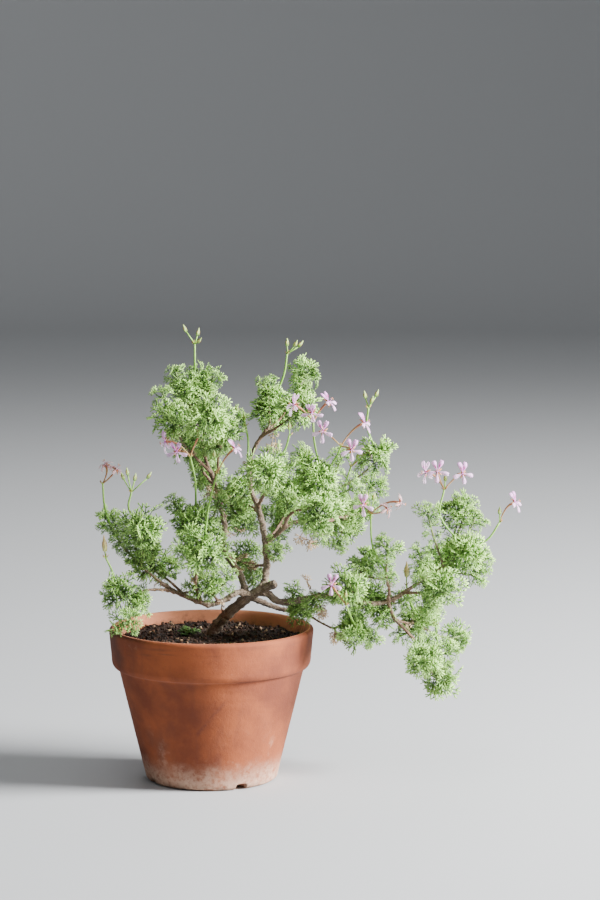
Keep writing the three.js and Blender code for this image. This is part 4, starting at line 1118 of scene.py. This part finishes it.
petals, shader, spot = new_finish("petals", 0.5)
marks = spot.attribute("petal", "Vector")
along, across, upper = marks.part("X"), marks.part("Y"), marks.part("Z")
veins = (across * 44 + spot.noise(1.5, 2, 0.5) * 2.4).maths("SINE")
veined = veins.between(0.35, 0.9) * along.between(0.12, 0.3) * (1 - along.between(0.55, 0.86))
centre = 1 - (across - 0.5).maths("ABSOLUTE").between(0.12, 0.36)
streak = centre * along.between(0.2, 0.36) * (1 - along.between(0.46, 0.7))
paint = (streak * 0.9 + veined * 0.55) * upper.between(0.45, 0.9)
colour = paint.mix(spot.attribute("tint", "Color"), PETAL_STREAK)
lower_veins = veined * (1 - upper.between(0.45, 0.9)) * 0.28 * along.between(0.02, 0.1)
lower_veins.mix(colour, PETAL_VEIN).into(shader, "Base Color")
(veins * 0.4 + spot.noise(0.6, 2, 0.6)).relief(shader, 0.1)
shader.inputs["Sheen Weight"].default_value = 0.1
shader.inputs["Subsurface Weight"].default_value = 0.5
shader.inputs["Subsurface Scale"].default_value = 0.004
shader.inputs["Subsurface Radius"].default_value = (1, 0.7, 0.9)

for number, (at, facing, withered) in enumerate(blooms, 1):
    rng = random.Random(40 + number)
    bloom = tinted()
    bloom.verts.layers.float_vector.new("petal")
    for angle, length, width, upper_share in PETALS:
        petal(bloom, rng, angle, length, width, upper_share, withered)
    throat = [UP * height for height in (-THROAT_DEPTH, -1.2, -0.2, 0.6)]
    strand(bloom, throat, (0.8, 0.5), 8, CALYX, PETAL_WITHERED if withered else PETAL_PINK)
    for index in range(SEPALS):
        turn = Matrix.Rotation(index * math.tau / SEPALS + 0.6, 3, "Z")
        sepal = [turn @ Vector((out, 0, up)) for out, up in
                 ((0.4, -1.2), (1.9, -1.0), (3.2, -1.7), (4.1, -2.7))]
        strand(bloom, sepal, (0.45, 0.66, 0.48, 0.12), 5, CALYX, SEPAL)
    for index in range(STAMENS):
        turn = Matrix.Rotation(index * 1.3 + rng.uniform(-0.3, 0.3), 3, "Z")
        lean = rng.uniform(0.5, 1.1)
        line = [turn @ Vector((out * lean, 0, up)) for out, up in
                ((0.1, 0.3), (0.25, 1.6), (0.7, 3.0), (1.1, 3.7))]
        strand(bloom, line, (0.15, 0.11), 5, FILAMENT, FILAMENT)
        tip = line[-1]
        strand(bloom, [tip - UP * 0.35, tip, tip + UP * 0.35], (0.15, 0.34, 0.15), 6,
               ANTHER, ANTHER)
    upright = (UP - facing * facing.z).normalized()
    turn = Matrix((upright.cross(facing), upright, facing)).transposed().to_4x4()
    bmesh.ops.transform(bloom, verts=bloom.verts, matrix=Matrix.Translation(at) @ turn)
    slot = "faded_petal" if withered else "petal"
    place(bloom, f"flower_{number}", petals, slot, f"bloom_{number}")

# Withered leaves. Old leaves dry up on the wood and hang there for months, curled and tan. A
# bunch is its place on the wood, the way it hangs, the length of its leaves and their number,
# and one or two more leaves hang at the ends of many twigs.
WITHERED = [
    ((50, 6, 265), (0.3, -0.5, -1), 12, 3),
    ((75, -6, 194), (0.1, -0.5, -1), 13, 5),
    ((8, 19, 224), (-0.3, -0.9, -0.3), 12, 5),
    ((107, -20, 146), (0.2, -0.5, 1), 13, 3),
    ((77, -17, 147), (0.0, -0.5, 1), 12, 3),
    ((84, -16, 140), (0.3, -0.7, -1), 13, 4),
    ((22, 10, 168), (0.3, -0.8, 0.5), 12, 4),
    ((27, 12, 160), (0.6, -0.7, 0.2), 11, 3),
    ((18, 14, 190), (0.1, -0.9, 0.5), 11, 2),
    ((94, -4, 119), (-0.2, -0.7, -0.8), 12, 3),
]
DRY_TONES = ((0.16, 0.08, 0.04, 1), (0.33, 0.18, 0.085, 1), (0.55, 0.36, 0.19, 1),
             (0.78, 0.6, 0.38, 1))
rng = random.Random(88)
dry = tinted()
for foot, way, length, count in WITHERED:
    for _ in range(count):
        spread = Vector((rng.gauss(0, 0.35), rng.gauss(0, 0.35), rng.gauss(0, 0.35)))
        put_leaf(dry, rng, Vector(foot) + spread * 5, Vector(way).normalized() + spread,
                 (0.3, -0.2, 1), length * rng.uniform(0.9, 1.25), rng.random(), DRY_TONES)
for foot, out in twig_ends:
    for _ in range(rng.choice((0, 1, 2))):
        hang = Vector((rng.gauss(0, 1), rng.gauss(0, 1), rng.uniform(-1.2, 0.1)))
        way = (out * -0.2 + hang).normalized()
        put_leaf(dry, rng, foot - out * rng.uniform(0, 6), way, (0, 0, 1), rng.uniform(5.5, 9),
                 rng.random(), DRY_TONES)
place(dry, "withered_leaves", leaf_finish("dry_leaf", 0.8, 0.1), "bark", "woody_stems")

# Seedling. A little clump of fresh green that has come up in the soil behind the trunk, with
# leaves cut as finely as the plant's own, all from one crown.
SEEDLING_LEAVES = 44
SEEDLING_CROWN = 4.5
SEEDLING_TONES = ((0.01, 0.035, 0.005, 1), (0.035, 0.11, 0.01, 1), (0.07, 0.2, 0.015, 1),
                  (0.14, 0.3, 0.035, 1))
rng = random.Random(12)
seedling = tinted()
foot = Vector((*SEEDLING_AT, SOIL_LEVEL + soil_lump(*SEEDLING_AT) - 0.5))
for index in range(SEEDLING_LEAVES):
    turn = index * 2.4
    lean = math.radians(rng.uniform(10, 80))
    outward = Vector((math.cos(turn), math.sin(turn), 0))
    way = outward * math.sin(lean) + UP * math.cos(lean)
    start = foot + outward * rng.uniform(0, SEEDLING_CROWN)
    put_leaf(seedling, rng, start, way, UP, rng.uniform(5.5, 8.5), rng.random(), SEEDLING_TONES)
place(seedling, "seedling", leaf_finish("seedling_green", 0.6, 0.1), "seedling", "soil_seedling")

# Floor, light and camera, in metres. A plain pale floor that curves up into a wall all round, soft
# studio light, and the camera where it stood for the photograph: a long lens, tipped a little down.
FLOOR_RADIUS = 4.5
SWEEP = 2.5
SWEEP_STEPS = 12
FLOOR_STEPS = 96
WALL_TOP = 5.0
FLOOR_PALE = (0.44, 0.45, 0.46, 1)
SKY = (0.9, 0.95, 1, 1)
SKY_STRENGTH = 0.15
AIM = Vector((0.05, 0, 0.17))
LIGHTS = (
    ("window", (2.05, -0.36, 1.0), 0.8, 350),
    ("overhead", (-0.1, -0.7, 2.0), 1.1, 12),
    ("back", (0.2, 1.7, 1.8), 1.4, 12),
)
FOCAL_LENGTH = 119.8
CAMERA_AT = (0.069, -2.3, 0.53)
CAMERA_TIP = 6.75

sweep = [(0, 0), (FLOOR_RADIUS, 0)]
for step in range(1, SWEEP_STEPS + 1):
    bend = step * math.pi / 2 / SWEEP_STEPS
    sweep.append((FLOOR_RADIUS + SWEEP * math.sin(bend), SWEEP - SWEEP * math.cos(bend)))
sweep.append((FLOOR_RADIUS + SWEEP, WALL_TOP))
ground = outline(sweep)
turn_round(ground, FLOOR_STEPS, 0.0001)
bmesh.ops.reverse_faces(ground, faces=ground.faces)
mesh = mesh_of(ground, "floor")
mesh.polygons.foreach_set("use_smooth", [True] * len(mesh.polygons))
pale, shader, _ = new_finish("pale_floor", 0.8)
shader.inputs["Base Color"].default_value = FLOOR_PALE
mesh.materials.append(pale)
stand("floor", mesh)

world = bpy.data.worlds.new("studio")
world.use_nodes = True
world.node_tree.nodes["Background"].inputs["Color"].default_value = SKY
world.node_tree.nodes["Background"].inputs["Strength"].default_value = SKY_STRENGTH
bpy.context.scene.world = world
for name, at, size, power in LIGHTS:
    light = bpy.data.lights.new(name, "AREA")
    light.size = size
    light.energy = power
    lamp = stand(name, light)
    lamp.location = at
    lamp.rotation_euler = (AIM - Vector(at)).to_track_quat("-Z", "Y").to_euler()

lens = bpy.data.cameras.new("camera")
lens.lens = FOCAL_LENGTH
lens.clip_end = 60
camera = stand("camera", lens)
camera.location = CAMERA_AT
camera.rotation_euler = (math.radians(90 - CAMERA_TIP), 0, 0)
bpy.context.scene.camera = camera
